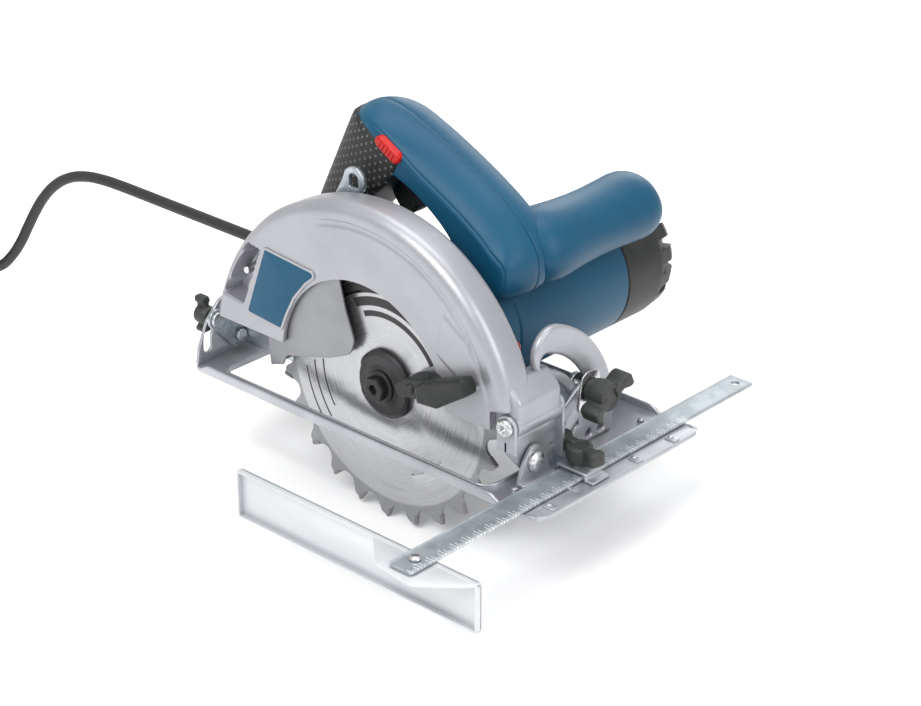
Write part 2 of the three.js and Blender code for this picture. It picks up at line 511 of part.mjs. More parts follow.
const caseOutline = (grow) => belt(SPINDLE.x, SPINDLE.z, CASE.near + CASE.wall + grow,
  MOTOR.x, MOTOR.z, MOTOR.radius + grow);
function gearCase() {
  const whole = along(caseOutline(0), CASE.from, CASE.to);
  const hollow = along(caseOutline(-CASE.wall), CASE.from - 1, CASE.to - CASE.backWall);
  const bush = rodY(SPINDLE.x, SPINDLE.z, 11 + GAP, -25, 0, 28);
  const bearing = rodY(MOTOR.x, MOTOR.z, 14 + GAP, -25, 0, 28);
  return cut(whole, hollow, bush, bearing, lockHole());
}

const motorFront = MOTOR.x + MOTOR.radius;
const LOCK = { y: -16, z: 66, radius: 4, tip: motorFront - 11.5, head: motorFront + 6.5,
  face: motorFront + 15.5 };
const lockHole = () => rodX(LOCK.y, LOCK.z, LOCK.radius + 0.4, LOCK.tip - 12, LOCK.face, 20);
const spindleLock = () => join(rodX(LOCK.y, LOCK.z, LOCK.radius, LOCK.tip, LOCK.head + 2, 20),
  across(roundedRectangle(LOCK.y - 11, LOCK.y + 5, LOCK.z - 6, LOCK.z + 6, 3), LOCK.head, LOCK.face, 1.2));

// ---------------------------------------------------------------- motor
const motorRing = (inner, outer, y0, y1, segments = 40) => (
  turnedY(ring(inner, outer, y0, y1), MOTOR.x, MOTOR.z, segments));
const motorInside = MOTOR.radius - MOTOR.wall;
const motorHousing = () => motorRing(motorInside, MOTOR.radius, MOTOR.start, MOTOR.seam, 48);

function endCap() {
  const r = MOTOR.radius;
  const { seam, end } = MOTOR;
  const profile = [[motorInside, seam + GAP], [r, seam + GAP], [r, end - 12], [r - 2, end - 4], [r - 6, end],
    [15, end], [15, end - 44], [11.3, end - 44], [11.3, end - 4], [motorInside - 3, end - 4],
    [motorInside, end - 12], [motorInside, seam + GAP]];
  const closed = join(turnedY(profile, MOTOR.x, MOTOR.z, 48), rodY(MOTOR.x, MOTOR.z, 15.5, end - 3, end, 24));
  const slots = Array.from({ length: 16 }, (_, i) => {
    const geometry = new THREE.BoxGeometry(14, 20, 5.5).translate(r - 4, end + 2, 0);
    return solid(geometry.rotateY((i * Math.PI) / 8).translate(MOTOR.x, 0, MOTOR.z));
  });
  return cut(closed, ...slots);
}

const stator = () => {
  const body = motorRing(27.6, motorInside - GAP, 24, 74);
  const flats = [-1, 1].map((side) => {
    const x = MOTOR.x + side * 37;
    return box(x - 3, x + 3, 20, 80, MOTOR.z + 20, MOTOR.z + 50);
  });
  return cut(body, ...flats);
};
const onShaft = 5 + GAP;
const armatureCore = () => motorRing(onShaft, 26.8, 26, 72, 32);
const commutator = () => motorRing(onShaft, 13, 92, 108, 28);
const bearingFront = () => motorRing(onShaft, 14, -18.7, -10.3, 28);
const bearingRear = () => motorRing(onShaft, 11, 122, 130.2, 28);
function coolingFan() {
  const disc = motorRing(onShaft, 37, 7, 9, 24);
  const hub = motorRing(onShaft, 10, -4, 8, 16);
  const vanes = Array.from({ length: 12 }, (_, i) => {
    const geometry = new THREE.BoxGeometry(28.5, 12, 1.4).translate(23, 2, 0);
    return solid(geometry.rotateY((i * Math.PI) / 6).translate(MOTOR.x, 0, MOTOR.z));
  });
  return join(disc, hub, ...vanes);
}
const brush = (side) => {
  const [a, b] = [MOTOR.x + side * 13.3, MOTOR.x + side * 34];
  return box(Math.min(a, b), Math.max(a, b), 96, 104, MOTOR.z - 4, MOTOR.z + 4);
};

// ---------------------------------------------------------------- rear handle
const HANDLE_OUT = [[-128, 48], [-126, 62], [-114, 86], [-101, 112], [-89, 140], [-76, 166], [-69, 179],
  [-58, 190], [-44, 194], [-28, 191.5], [-8, 184], [14, 174], [38, 161.5], [60, 147], [73, 134], [80, 122],
  [79, 108], [72, 98], [60, 93], [30, 93], [-20, 70], [-24, 46]];
const HANDLE_LOOP = [[-66, 84], [-74, 92], [-64, 106], [-52, 122], [-40, 141], [-26, 155], [-8, 152], [14, 140],
  [30, 126], [38, 112], [34, 106.5], [-5, 106.5], [-28, 90], [-40, 82]];
const HANDLE_HOLLOW = [[-98, 100], [-84, 134], [-68, 164], [-58, 180], [-44, 187], [-28, 184], [-8, 176],
  [14, 166], [38, 152], [34, 141], [2, 160], [-28, 165], [-44, 152], [-60, 126], [-78, 98]];
const LOCKOFF = { x: -19, z: 174.5, length: 22, height: 8, slant: -0.52 };

function capsule(length, height) {
  const r = height / 2;
  const half = length / 2 - r;
  const shape = new THREE.Shape();
  shape.moveTo(-half, -r).lineTo(half, -r).absarc(half, 0, r, -Math.PI / 2, Math.PI / 2);
  return shape.lineTo(-half, r).absarc(-half, 0, r, Math.PI / 2, 1.5 * Math.PI);
}

function lockOff(grow, y0, y1) {
  const { x, z, length, height, slant } = LOCKOFF;
  const geometry = extrude(capsule(length + 2 * grow, height + 2 * grow), y1 - y0, 0, 6);
  return solid(geometry.rotateZ(slant).rotateX(Math.PI / 2).translate(x, y1, z));
}

const TRIGGER = { y0: -5, y1: 9 };
function trigger() {
  const shape = outline([[-9, 154], [-9, 159.5], [-15, 160], [-38, 151.5], [-39, 146], [-36, 136], [-29, 127],
    [-20, 125], [-16, 131], [-19, 139], [-17, 149]]);
  return along(shape, TRIGGER.y0, TRIGGER.y1, 1.2);
}
const triggerRoom = () => along(outline([[-5, 150], [-5, 168], [-46, 164], [-52, 146], [-46, 134], [-28, 120],
  [-10, 120]]), TRIGGER.y0 - 0.6, TRIGGER.y1 + 0.6);

function handleShell(near) {
  const whole = along(outline(HANDLE_OUT), HANDLE.from, HANDLE.to, HANDLE.rounding);
  const loop = along(outline(HANDLE_LOOP), HANDLE.from - 5, HANDLE.to + 5);
  const wall = 3;
  const hollow = along(outline(HANDLE_HOLLOW), HANDLE.from + wall + 1, HANDLE.to - wall - 1);
  const motorRoom = rodY(MOTOR.x, MOTOR.z, MOTOR.radius + 0.4, -60, 60, 48);
  const caseRoom = along(caseOutline(0.4), -60, CASE.to + 0.4);
  const glandRoom = turnedX(rod(10.4, -140, -104), GLAND.y, GLAND.z, 20);
  const gripRoom = gripBody(0.3);
  const half = near ? box(-300, 300, -60, HANDLE.seam, 0, 300) : box(-300, 300, HANDLE.seam + GAP, 60, 0, 300);
  return cut(whole, loop, hollow, motorRoom, caseRoom, triggerRoom(), lockOff(0.4, -40, 40), glandRoom,
    gripRoom).intersect(half);
}

// The soft grip lies in a shallow step round the back of the rear post.
const GRIP = [[-107, 101], [-101, 112], [-89, 140], [-76, 166], [-69, 179], [-63, 185], [-52, 177], [-38, 168],
  [-38, 152], [-50, 136], [-62, 118], [-76, 104]];
function gripBody(grow) {
  const outer = along(outline(GRIP), HANDLE.from - 1, HANDLE.to + 1, HANDLE.rounding);
  const shiftX = 3 + grow;
  const core = along(outline(GRIP.map(([x, z], i) => (i < 6 ? [x + shiftX, z - shiftX / 3] : [x + 30, z]))),
    HANDLE.from + 2 + grow, HANDLE.to - 2 - grow, HANDLE.rounding - 3);
  const trimmed = along(outline([[-120, 101 - grow], [-76 + grow, 101 - grow], [-34, 150], [-34, 168],
    [-62, 192], [-120, 192]]), -60, 60);
  return cut(outer, core).intersect(trimmed);
}

const switchUnit = () => box(-67, -54, -7, 11, 143, 163);

// ---------------------------------------------------------------- front handle
function frontHandle() {
  const shape = outline([[38, 111], [66, 99], [81, 104], [85, 119], [77, 134], [60, 140], [39, 131]]);
  const bar = along(shape, HANDLE.to + GAP, 124, 6);
  return cut(bar, rodY(MOTOR.x, MOTOR.z, MOTOR.radius + 0.4, 0, 170, 48));
}

// ---------------------------------------------------------------- parallel guide
function guideBar() {
  const shape = roundedRectangle(BAR.x - BAR.width / 2, BAR.x + BAR.width / 2, BAR.near, BAR.far, 1.5);
  const bar = flat(shape, BAR.z, BAR.z + BAR.thick);
  return cut(bar, rodZ(BAR.x, BAR.far - 8, 2.5, 0, 10, 16), rodZ(...RIVET, 2.3, 0, 10, 16));
}
const RIVET = [BAR.x, BAR.near + 13];
const guideRivet = () => turnedZ([[0, -0.4], [3.6, -0.4], [3.6, 0.6], [2, 0.6], [2, BAR.z + BAR.thick + GAP],
  [3.6, BAR.z + BAR.thick + GAP], [2.4, BAR.z + BAR.thick + 1.6], [0, BAR.z + BAR.thick + 1.9]], ...RIVET, 16);

function guideFence() {
  const { rear, front, y, top, height, lip, sheet } = FENCE;
  const low = top - height;
  const face = box(rear, front, y - sheet, y, low, top);
  const topLip = box(rear, front, y - lip, y, top - sheet, top);
  const lowLip = box(rear, front, y - lip, y, low, low + sheet);
  const ends = [box(rear, rear + sheet, y - lip, y, low, top), box(front - sheet, front, y - lip, y, low, top)];
  const tabShape = outline([[rear + 112, y - 1], [BAR.x - 17, BAR.near - 2], [BAR.x + 14, BAR.near - 6],
    [BAR.x + 30, y - 16], [front, y - lip + 1], [front, y - 1]]);
  const tab = flat(tabShape, top - sheet, top);
  const fence = join(face, topLip, lowLip, ...ends, tab);
  return cut(fence, rodZ(...RIVET, 2.3, -5, 10, 16));
}

// ---------------------------------------------------------------- cord
const gland = () => turnedX([[0, GLAND.tip], [5.4, GLAND.tip], [8.4, GLAND.root - 5], [10, GLAND.root + 1],
  [10, GLAND.root + 18], [0, GLAND.root + 18]], GLAND.y, GLAND.z, 20);

const COIL = { x: -548, y: -42 };
const CORD_ROUTE = [[GLAND.tip - GAP, 2, 62], [-190, 2, 62], [-215, 2, 62], [-240, 2, 62], [-265, 2, 62],
  [-290, 2, 62], [-312, 2, 61.9], [-333, 2, 61], [-353, 2, 58], [-372, 2, 51.5], [-389, 2, 41], [-403, 2, 28],
  [-415, 2, 13], [-426, 2, -3], [-437, 2, -19], [-449, 2, -33], [-463, 2, -45], [-480, 2, -53],
  [-490, 2, -55.3], [-501, 2, -56]];

class CordRun extends THREE.CatmullRomCurve3 {
  constructor(points) {
    super(points.map((p) => new THREE.Vector3(...p)), false, 'centripetal');
  }
}

function cordTube() {
  const section = outline(Array.from({ length: 8 }, (_, i) => around(0, 0, CORD.radius, 45 * i)));
  return solid(new THREE.ExtrudeGeometry(section, { steps: 26, bevelEnabled: false,
    extrudePath: new CordRun(CORD_ROUTE) }));
}

const coilTop = CORD.floor + CORD.coilHeight;
const coilInner = CORD.coilMiddle - CORD.coilBand / 2;
const coilOuter = CORD.coilMiddle + CORD.coilBand / 2;
const cordCoil = () => turnedZ(ring(coilInner, coilOuter, CORD.floor, coilTop).reverse(), COIL.x, COIL.y, 40);

const PLUG = { x0: COIL.x - 8, x1: COIL.x + 30, y: COIL.y - CORD.coilMiddle, z: coilTop + 8.8 };
const plugBody = () => {
  const { x0, x1, y, z } = PLUG;
  const shape = outline([[x0, y - 6], [x0 + 14, y - 9], [x1 - 4, y - 17], [x1, y - 17], [x1, y + 17],
    [x1 - 4, y + 17], [x0 + 14, y + 9], [x0, y + 6]]);
  return flat(shape, z - 8.5, z + 8.5, 2.5);
};
const plugPin = (side) => rodX(PLUG.y + side * 9.5, PLUG.z, 2.4, PLUG.x1 + GAP, PLUG.x1 + 19, 14);

// ---------------------------------------------------------------- the whole saw
piece('base_plate', basePlate(), ...PRESSED);
piece('bevel_quadrant', bevelQuadrant(), ...CAST);
piece('front_bevel_ear', frontEar(), ...PRESSED);
piece('front_bevel_rivet', frontRivet(), ...STEEL);
piece('rear_bevel_upright', rearUpright(), ...PRESSED);
piece('rear_pivot_screw', rearPivotScrew(), ...STEEL);
piece('guide_clamp_bridge', clampBridge(), ...PRESSED);

piece('front_tilt_bracket', frontTiltBracket(), ...PRESSED);
piece('depth_pivot_pin', depthPin(), ...STEEL);
piece('depth_arm', depthArm(), ...ZINC);
piece('bevel_bolt', bevelBolt(), ...STEEL);
piece('rear_clamp_bolt', rearClampBolt(), ...STEEL);
piece('bevel_wing_knob', bevelWingKnob(), ...BLACK);
piece('rear_bevel_knob', rearBevelKnob(), ...BLACK);

piece('upper_guard', upperGuard(), ...CAST);
piece('label_panel', labelPanel(), ...BLUE);
piece('gear_case', gearCase(), ...BLUE);
piece('motor_housing', motorHousing(), ...BLUE);
piece('motor_end_cap', endCap(), ...BLACK);
piece('handle_shell_near', handleShell(true), ...BLUE);
piece('handle_shell_far', handleShell(false), ...BLUE);
piece('rear_grip', gripBody(0), ...BLACK);
piece('front_handle', frontHandle(), ...BLUE);
piece('switch_unit', switchUnit(), ...BLACK);
piece('trigger', trigger(), ...BLACK);
piece('lock_off_button', lockOff(0, HANDLE.from - 3, HANDLE.to + 3), ...RED);
piece('spindle_lock', spindleLock(), ...RED);
piece('stator', stator(), ...ZINC);
piece('brush_front', brush(1), ...BLACK);
piece('brush_rear', brush(-1), ...BLACK);
piece('guard_spring', guardSpring(), ...STEEL);
piece('spindle_bearing', spindleBearing(), ...STEEL);
piece('spindle_bush', spindleBush(), ...COPPER);
piece('armature_bearing_front', bearingFront(), ...STEEL);
piece('armature_bearing_rear', bearingRear(), ...STEEL);
piece('depth_clamp_bolt', depthClampBolt(), ...STEEL);
piece('depth_clamp_lever', depthLever(), ...BLACK);
piece('cord_gland', gland(), ...BLACK);

piece('lower_guard', lowerGuard(), ...PRESSED);
piece('guard_lever', guardLever(), ...BLACK);

piece('spindle', spindle(), ...STEEL);
piece('drive_gear', driveGear(), ...STEEL);
piece('inner_flange', innerFlange(), ...STEEL);
piece('saw_blade', blade(), ...STEEL);
piece('outer_flange', outerFlange(), ...BLACK);
piece('bolt_washer', boltWasher(), ...BLACK);
piece('blade_bolt', bladeBolt(), ...BLACK);

piece('armature_shaft', armatureShaft(), ...STEEL);
piece('armature_core', armatureCore(), ...ZINC);
piece('commutator', commutator(), ...COPPER);
piece('cooling_fan', coolingFan(), ...BLACK);

piece('guide_bar', guideBar(), ...ZINC);
piece('guide_fence', guideFence(), ...ZINC);
piece('guide_rivet', guideRivet(), ...STEEL);
piece('guide_wing_knob', guideWingKnob(), ...BLACK);

piece('cord_tube', cordTube(), ...BLACK);
piece('cord_coil', cordCoil(), ...BLACK);
piece('plug_body', plugBody(), ...BLACK);
piece('plug_pin_near', plugPin(-1), ...STEEL);
piece('plug_pin_far', plugPin(1), ...STEEL);

export default saw;
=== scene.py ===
"""A corded circular saw with a 190 mm blade, on a pale studio floor.

Metres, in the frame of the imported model: +X is the cutting direction, +Y runs from the blade to the motor,
+Z is up, and the origin is the centre of the base plate's sole. The sections follow the saw as it is put
together. Sizes are written in millimetres and turned into metres by MM where the mesh is made.
"""
import math

import bpy
import bmesh
import numpy as np
from mathutils import Matrix, Vector
from mathutils.geometry import delaunay_2d_cdt


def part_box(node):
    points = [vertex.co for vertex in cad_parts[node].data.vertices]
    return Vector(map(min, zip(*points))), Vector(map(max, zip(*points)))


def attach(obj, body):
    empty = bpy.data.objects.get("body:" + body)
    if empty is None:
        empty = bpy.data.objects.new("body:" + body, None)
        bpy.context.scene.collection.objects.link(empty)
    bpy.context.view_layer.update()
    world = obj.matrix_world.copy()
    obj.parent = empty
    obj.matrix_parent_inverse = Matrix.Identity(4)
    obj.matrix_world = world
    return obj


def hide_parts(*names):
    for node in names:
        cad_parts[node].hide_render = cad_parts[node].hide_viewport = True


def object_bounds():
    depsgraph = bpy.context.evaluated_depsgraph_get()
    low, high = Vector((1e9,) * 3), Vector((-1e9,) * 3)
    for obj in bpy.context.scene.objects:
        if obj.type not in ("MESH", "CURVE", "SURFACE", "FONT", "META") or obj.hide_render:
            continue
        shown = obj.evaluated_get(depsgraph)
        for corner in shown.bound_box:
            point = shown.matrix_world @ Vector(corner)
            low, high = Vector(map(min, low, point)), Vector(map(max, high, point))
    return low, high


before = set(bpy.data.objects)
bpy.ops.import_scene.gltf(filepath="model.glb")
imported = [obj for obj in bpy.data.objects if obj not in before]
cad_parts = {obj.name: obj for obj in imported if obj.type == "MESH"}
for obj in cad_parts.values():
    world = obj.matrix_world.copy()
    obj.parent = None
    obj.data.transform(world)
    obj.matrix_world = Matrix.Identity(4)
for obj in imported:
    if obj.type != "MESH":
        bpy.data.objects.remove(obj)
cad_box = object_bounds()
MM = 0.001

# ---------------------------------------------------------------- camera, floor and light
# A long lens looks down at the blade side from the front left. The saw stands on the tip of its blade, just
# over a pale sweep of paper, between two big soft boxes and under a white sky.
AZIMUTH, ELEVATION = math.radians(42.58), math.radians(26.07)
right = Vector((math.cos(AZIMUTH), math.sin(AZIMUTH), 0))
back = Vector((math.sin(AZIMUTH) * math.cos(ELEVATION), -math.cos(AZIMUTH) * math.cos(ELEVATION),
               math.sin(ELEVATION)))
up = back.cross(right)
aim = Vector((-2.1, -2.9, 60)) * MM + right * 16.68 * MM - up * 23.43 * MM

camera = bpy.data.objects.new("camera", bpy.data.cameras.new("camera"))
camera.data.lens = 94.35
camera.data.sensor_width = 36
camera.data.clip_end = 20
camera.matrix_world = Matrix.Translation(aim + back * 1.5272) @ Matrix((right, up, back)).transposed().to_4x4()
bpy.context.scene.collection.objects.link(camera)
bpy.context.scene.camera = camera


def soft_box(name, azimuth, elevation, distance, width, height, power, target=(0, 0, 0.05)):
    """An area light at that azimuth and elevation from the saw, in degrees, facing it."""
    a, e = math.radians(azimuth), math.radians(elevation)
    lamp = bpy.data.lights.new(name, "AREA")
    lamp.shape, lamp.size, lamp.size_y, lamp.energy = "RECTANGLE", width, height, power
    box = bpy.data.objects.new(name, lamp)
    place = Vector((math.sin(a) * math.cos(e), -math.cos(a) * math.cos(e), math.sin(e))) * distance
    box.location = place + Vector(target)
    box.rotation_euler = place.to_track_quat("Z", "Y").to_euler()
    bpy.context.scene.collection.objects.link(box)


soft_box("key_box", 5, 48, 2.2, 1.5, 1.2, 34)
soft_box("fill_box", 95, 32, 2.4, 1.3, 1.6, 22)
soft_box("top_box", 200, 76, 2.2, 1.8, 1.4, 24)
soft_box("rim_box", 205, 22, 2.6, 1.6, 1.0, 14)

world = bpy.data.worlds.new("white_sky")
bpy.context.scene.world = world
world.use_nodes = True
world.node_tree.nodes["Background"].inputs["Color"].default_value = (1, 1, 1, 1)
world.node_tree.nodes["Background"].inputs["Strength"].default_value = 0.72
bpy.context.scene.view_settings.view_transform = "Standard"


class Wire:
    """An output of a node. Sums written on it add Math nodes to its material."""

    def __init__(self, paint, socket):
        self.paint, self.socket = paint, socket

    def maths(self, operation, *others, clamp=False):
        return self.paint.node("Math", {"operation": operation, "use_clamp": clamp},
                               dict(enumerate((self, *others))))

    def __add__(self, other): return self.maths("ADD", other)
    def __sub__(self, other): return self.maths("SUBTRACT", other)
    def __mul__(self, other): return self.maths("MULTIPLY", other)
    def __truediv__(self, other): return self.maths("DIVIDE", other)
    def __rsub__(self, other): return self.paint.node("Math", {"operation": "SUBTRACT"}, {0: other, 1: self})
    __radd__, __rmul__ = __add__, __mul__

    def sine(self): return self.maths("SINE")
    def size(self): return self.maths("ABSOLUTE")
    def most(self, other): return self.maths("MAXIMUM", other)

    def step(self, low, high):
        """0 below low and 1 above high, with a smooth rise between them."""
        return self.paint.node("MapRange", {"interpolation_type": "SMOOTHSTEP"}, {0: self, 1: low, 2: high})


class Paint:
    """A Principled material with constants on its own sockets. The slot it is given is not used."""

    def __init__(self, name, slot, color, roughness, metallic=0.0, **constants):
        self.material = bpy.data.materials.new(name)
        self.material.use_nodes = True
        self.material.diffuse_color = (*color, 1)
        self.tree = self.material.node_tree
        self.surface = self.tree.nodes["Principled BSDF"]
        self.slot = slot
        for socket, value in {"Base Color": (*color, 1), "Roughness": roughness, "Metallic": metallic,
                              **{k.replace("_", " "): v for k, v in constants.items()}}.items():
            self.surface.inputs[socket].default_value = value

    def node(self, kind, settings={}, inputs={}, output=0):
        """Adds a node of that type, with its settings first and then the values or links of its sockets."""
        made = self.tree.nodes.new("ShaderNode" + kind)
        for key, value in settings.items():
            setattr(made, key, value)
        for socket, value in inputs.items():
            if isinstance(value, Wire):
                self.tree.links.new(value.socket, made.inputs[socket])
            else:
                made.inputs[socket].default_value = value
        return Wire(self, made.outputs[output])

    def place(self, scale=(1, 1, 1), turn=(0, 0, 0), shift=(0, 0, 0)):
        """Object coordinates in metres, shifted, turned and stretched."""
        where = self.node("TexCoord", output="Object")
        return self.node("Mapping", {}, {0: where, 1: shift, 2: turn, 3: scale})

    def parts(self, vector):
        """The three numbers of a vector."""
        split = self.tree.nodes.new("ShaderNodeSeparateXYZ")
        self.tree.links.new(vector.socket, split.inputs[0])
        return [Wire(self, out) for out in split.outputs]

    def noise(self, scale, detail=3.0, rough=0.55, vector=None):
        """Smooth random values round 0.5, scale of them to the metre."""
        return self.node("TexNoise", {}, {"Vector": vector or self.place(), "Scale": scale, "Detail": detail,
                                          "Roughness": rough})

    def mix(self, share, first, second):
        """A colour between two colours."""
        ends = [c if isinstance(c, Wire) else (*c, 1) for c in (first, second)]
        return self.node("Mix", {"data_type": "RGBA"}, {0: share, 6: ends[0], 7: ends[1]}, 2)

    def feed(self, **sockets):
        """Links values to sockets of the surface, whose names have _ for a space."""
        for name, wire in sockets.items():
            self.tree.links.new(wire.socket, self.surface.inputs[name.replace("_", " ")])
        return self

    def bump(self, height, distance, strength=1.0):
        """Relief of that many metres where height goes from 0 to 1."""
        return self.feed(Normal=self.node("Bump", {}, {"Height": height, "Distance": distance,
                                                       "Strength": strength}))


def build(name, points, faces, paint, body, replaces=(), angle=32):
    """A closed mesh from points in millimetres, welded, with its faces out, riding on a body."""
    mesh = bpy.data.meshes.new(name)
    mesh.from_pydata((np.asarray(points, float) * MM).tolist(), [], [list(map(int, f)) for f in faces])
    work = bmesh.new()
    work.from_mesh(mesh)
    bmesh.ops.remove_doubles(work, verts=work.verts, dist=2e-6)
    bmesh.ops.dissolve_degenerate(work, edges=work.edges, dist=1e-7)
    bmesh.ops.recalc_face_normals(work, faces=work.faces)
    work.to_mesh(mesh)
    work.free()
    mesh.shade_smooth()
    mesh.set_sharp_from_angle(angle=math.radians(angle))
    piece = bpy.data.objects.new(name, mesh)
    bpy.context.scene.collection.objects.link(piece)
    mesh.materials.append(paint.material)
    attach(piece, body)
    if replaces:
        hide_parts(*replaces)
    return piece


def grid_faces(rows, columns, wrap_rows=False, wrap_columns=False):
    """The quads of a grid of points numbered row by row."""
    i = np.arange(rows if wrap_rows else rows - 1)[:, None]
    j = np.arange(columns if wrap_columns else columns - 1)[None, :]
    a = i * columns + j
    b = i * columns + (j + 1) % columns
    c = ((i + 1) % rows) * columns + (j + 1) % columns
    d = ((i + 1) % rows) * columns + j
    return np.stack([a, b, c, d], -1).reshape(-1, 4)


AXES = {"X": np.array([[0, 1, 0], [0, 0, 1], [1, 0, 0]]), "Y": np.array([[1, 0, 0], [0, 0, 1], [0, 1, 0]]),
        "Z": np.array([[1, 0, 0], [0, 1, 0], [0, 0, 1]])}


def turned_grid(profile, axis, centre, around=96):
    """Radius r and height h turned once: each point is (r cos t, r sin t, h), laid along the axis."""
    r, h = np.asarray(profile, float).T
    t = np.linspace(0, 2 * np.pi, around, endpoint=False)
    flat = np.stack([np.outer(np.cos(t), r), np.outer(np.sin(t), r), np.outer(np.ones(around), h)], -1)
    return (flat.reshape(-1, 3) @ AXES[axis]) + centre, grid_faces(around, len(r), True, False)


def turned(name, profile, axis, centre, paint, body, around=96, **extra):
    """A turned piece whose profile starts and ends on its axis, or closes on itself."""
    return build(name, *turned_grid(profile, axis, np.asarray(centre, float), around), paint, body, **extra)


def eased(corners, steps=5):
    """An open profile whose corners (r, h, radius) are rounded by arcs of that radius."""
    out = []
    for k, corner in enumerate(corners):
        p, radius = np.array(corner[:2], float), (corner[2] if len(corner) > 2 else 0)
        if radius == 0 or k in (0, len(corners) - 1):
            out.append(p)
            continue
        before = np.array(corners[k - 1][:2], float) - p
        after = np.array(corners[k + 1][:2], float) - p
        out.extend(corner_arc(p, before, after, radius, steps))
    return np.array(out)


def corner_arc(p, before, after, radius, steps):
    """Points of the arc that rounds the corner at p between the directions before and after."""
    a, b = before / np.linalg.norm(before), after / np.linalg.norm(after)
    half = np.arccos(np.clip(a @ b, -1, 1)) / 2
    if half > 1.56:
        return [p]
    reach = min(radius / np.tan(half), 0.49 * np.linalg.norm(before), 0.49 * np.linalg.norm(after))
    middle = p + (a + b) / np.linalg.norm(a + b) * reach / np.cos(half)
    start, end = p + a * reach - middle, p + b * reach - middle
    share = np.linspace(0, 1, steps + 1)[:, None]
    turn = np.pi - 2 * half
    return list(middle + (np.sin((1 - share) * turn) * start + np.sin(share * turn) * end) / np.sin(turn))


def closed(corners, steps=6):
    """A closed outline whose corners (u, v, radius) are rounded by arcs."""
    out = []
    count = len(corners)
    for k, corner in enumerate(corners):
        p, radius = np.array(corner[:2], float), (corner[2] if len(corner) > 2 else 0)
        before = np.array(corners[k - 1][:2], float) - p
        after = np.array(corners[(k + 1) % count][:2], float) - p
        out.extend(corner_arc(p, before, after, radius, steps) if radius else [p])
    return np.array(out)


# The sweep of paper under the saw: the floor's top is where the blade's lowest tooth is.
FLOOR = cad_box[0][2]
paper = Paint("paper", None, (0.93, 0.93, 0.93), 0.9)
paper.feed(Roughness=paper.noise(40) * 0.1 + 0.85)
floor_mesh = bpy.data.meshes.new("floor")
floor_mesh.from_pydata([(-6, -6, FLOOR), (6, -6, FLOOR), (6, 6, FLOOR), (-6, 6, FLOOR)], [], [(0, 1, 2, 3)])
floor_mesh.materials.append(paper.material)
floor = bpy.data.objects.new("floor", floor_mesh)
bpy.context.scene.collection.objects.link(floor)

# ---------------------------------------------------------------- mains cord, strain relief and plug
# A black 8 mm rubber flex leaves the tapered strain relief straight back, droops to the floor and is wound
# into a neat storage coil four layers high. Its moulded plug lies on the coil, along the last turn.
CORD_RADIUS = 4.0
ROUTE = [(-172.3, 2, 62), (-190, 2, 62), (-215, 2, 62), (-240, 2, 62), (-265, 2, 62), (-290, 2, 62),
         (-312, 2, 61.9), (-333, 2, 61), (-353, 2, 58), (-372, 2, 51.5), (-389, 2, 41), (-403, 2, 28),
         (-415, 2, 13), (-426, 2, -3), (-437, 2, -19), (-449, 2, -33), (-463, 2, -45), (-480, 2, -53),
         (-490, 2, -55.3), (-501, 2.6, -56), (-517, 6.6, -56)]
COIL = (-548.0, -42.0)
COIL_IN, COIL_OUT, PITCH = 32.0, 58.0, 8.12
LAYERS, LAST_TURNS, ENTRY, CLIMB_TURNS = 3, 1.714, 75.0, 0.5


def coil_points(per_turn=20):
    """The middle of the cord at (r cos t, r sin t, h), where r goes in to COIL_IN and out to COIL_OUT by turns.

    Each change of direction is a layer's end, where h climbs one cord's width within CLIMB_TURNS.
    """
    whole = (COIL_OUT - COIL_IN) / PITCH
    turns = np.arange(0, LAYERS * whole + LAST_TURNS, 1 / per_turn)
    layer = np.minimum(np.floor(turns / whole), LAYERS)
    share = turns / whole - layer
    r = np.where(layer % 2 == 0, COIL_OUT - (COIL_OUT - COIL_IN) * share,
                 COIL_IN + (COIL_OUT - COIL_IN) * share)
    climb = np.clip((turns / whole - np.round(turns / whole)) * whole / CLIMB_TURNS + 0.5, 0, 1)
    level = np.clip(np.round(turns / whole), 0, LAYERS) - 1 + climb * climb * (3 - 2 * climb)
    level = np.where((np.round(turns / whole) == 0) | (np.round(turns / whole) > LAYERS), layer, level)
    angle = np.radians(ENTRY) + 2 * np.pi * turns
    height = FLOOR / MM + CORD_RADIUS + 2 * CORD_RADIUS * level
    return np.stack([COIL[0] + r * np.cos(angle), COIL[1] + r * np.sin(angle), height], -1)


coil = coil_points()
plug_low, plug_high = (np.array(c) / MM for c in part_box("plug_body"))
plug_y, plug_z = (plug_low + plug_high)[1:] / 2
last = coil[-1]
ending = [(plug_low[0] - 36, plug_y + 25, last[2] + 2.5), (plug_low[0] - 24, plug_y + 12, last[2] + 7.5),
          (plug_low[0] - 12, plug_y + 3.6, plug_z - 1.6), (plug_low[0] + 2, plug_y, plug_z)]
cord_points = np.vstack([ROUTE, coil, ending])

rubber = Paint("cord_rubber", "cord_rubber", (0.013, 0.013, 0.014), 0.52, Specular_IOR_Level=0.42)
grime = rubber.noise(300, 4)
rubber.feed(Roughness=grime * 0.2 + 0.42,
            Base_Color=rubber.mix(grime, (0.010, 0.010, 0.011), (0.022, 0.022, 0.023)))
rubber.bump(rubber.noise(1600, 2), 0.00006)

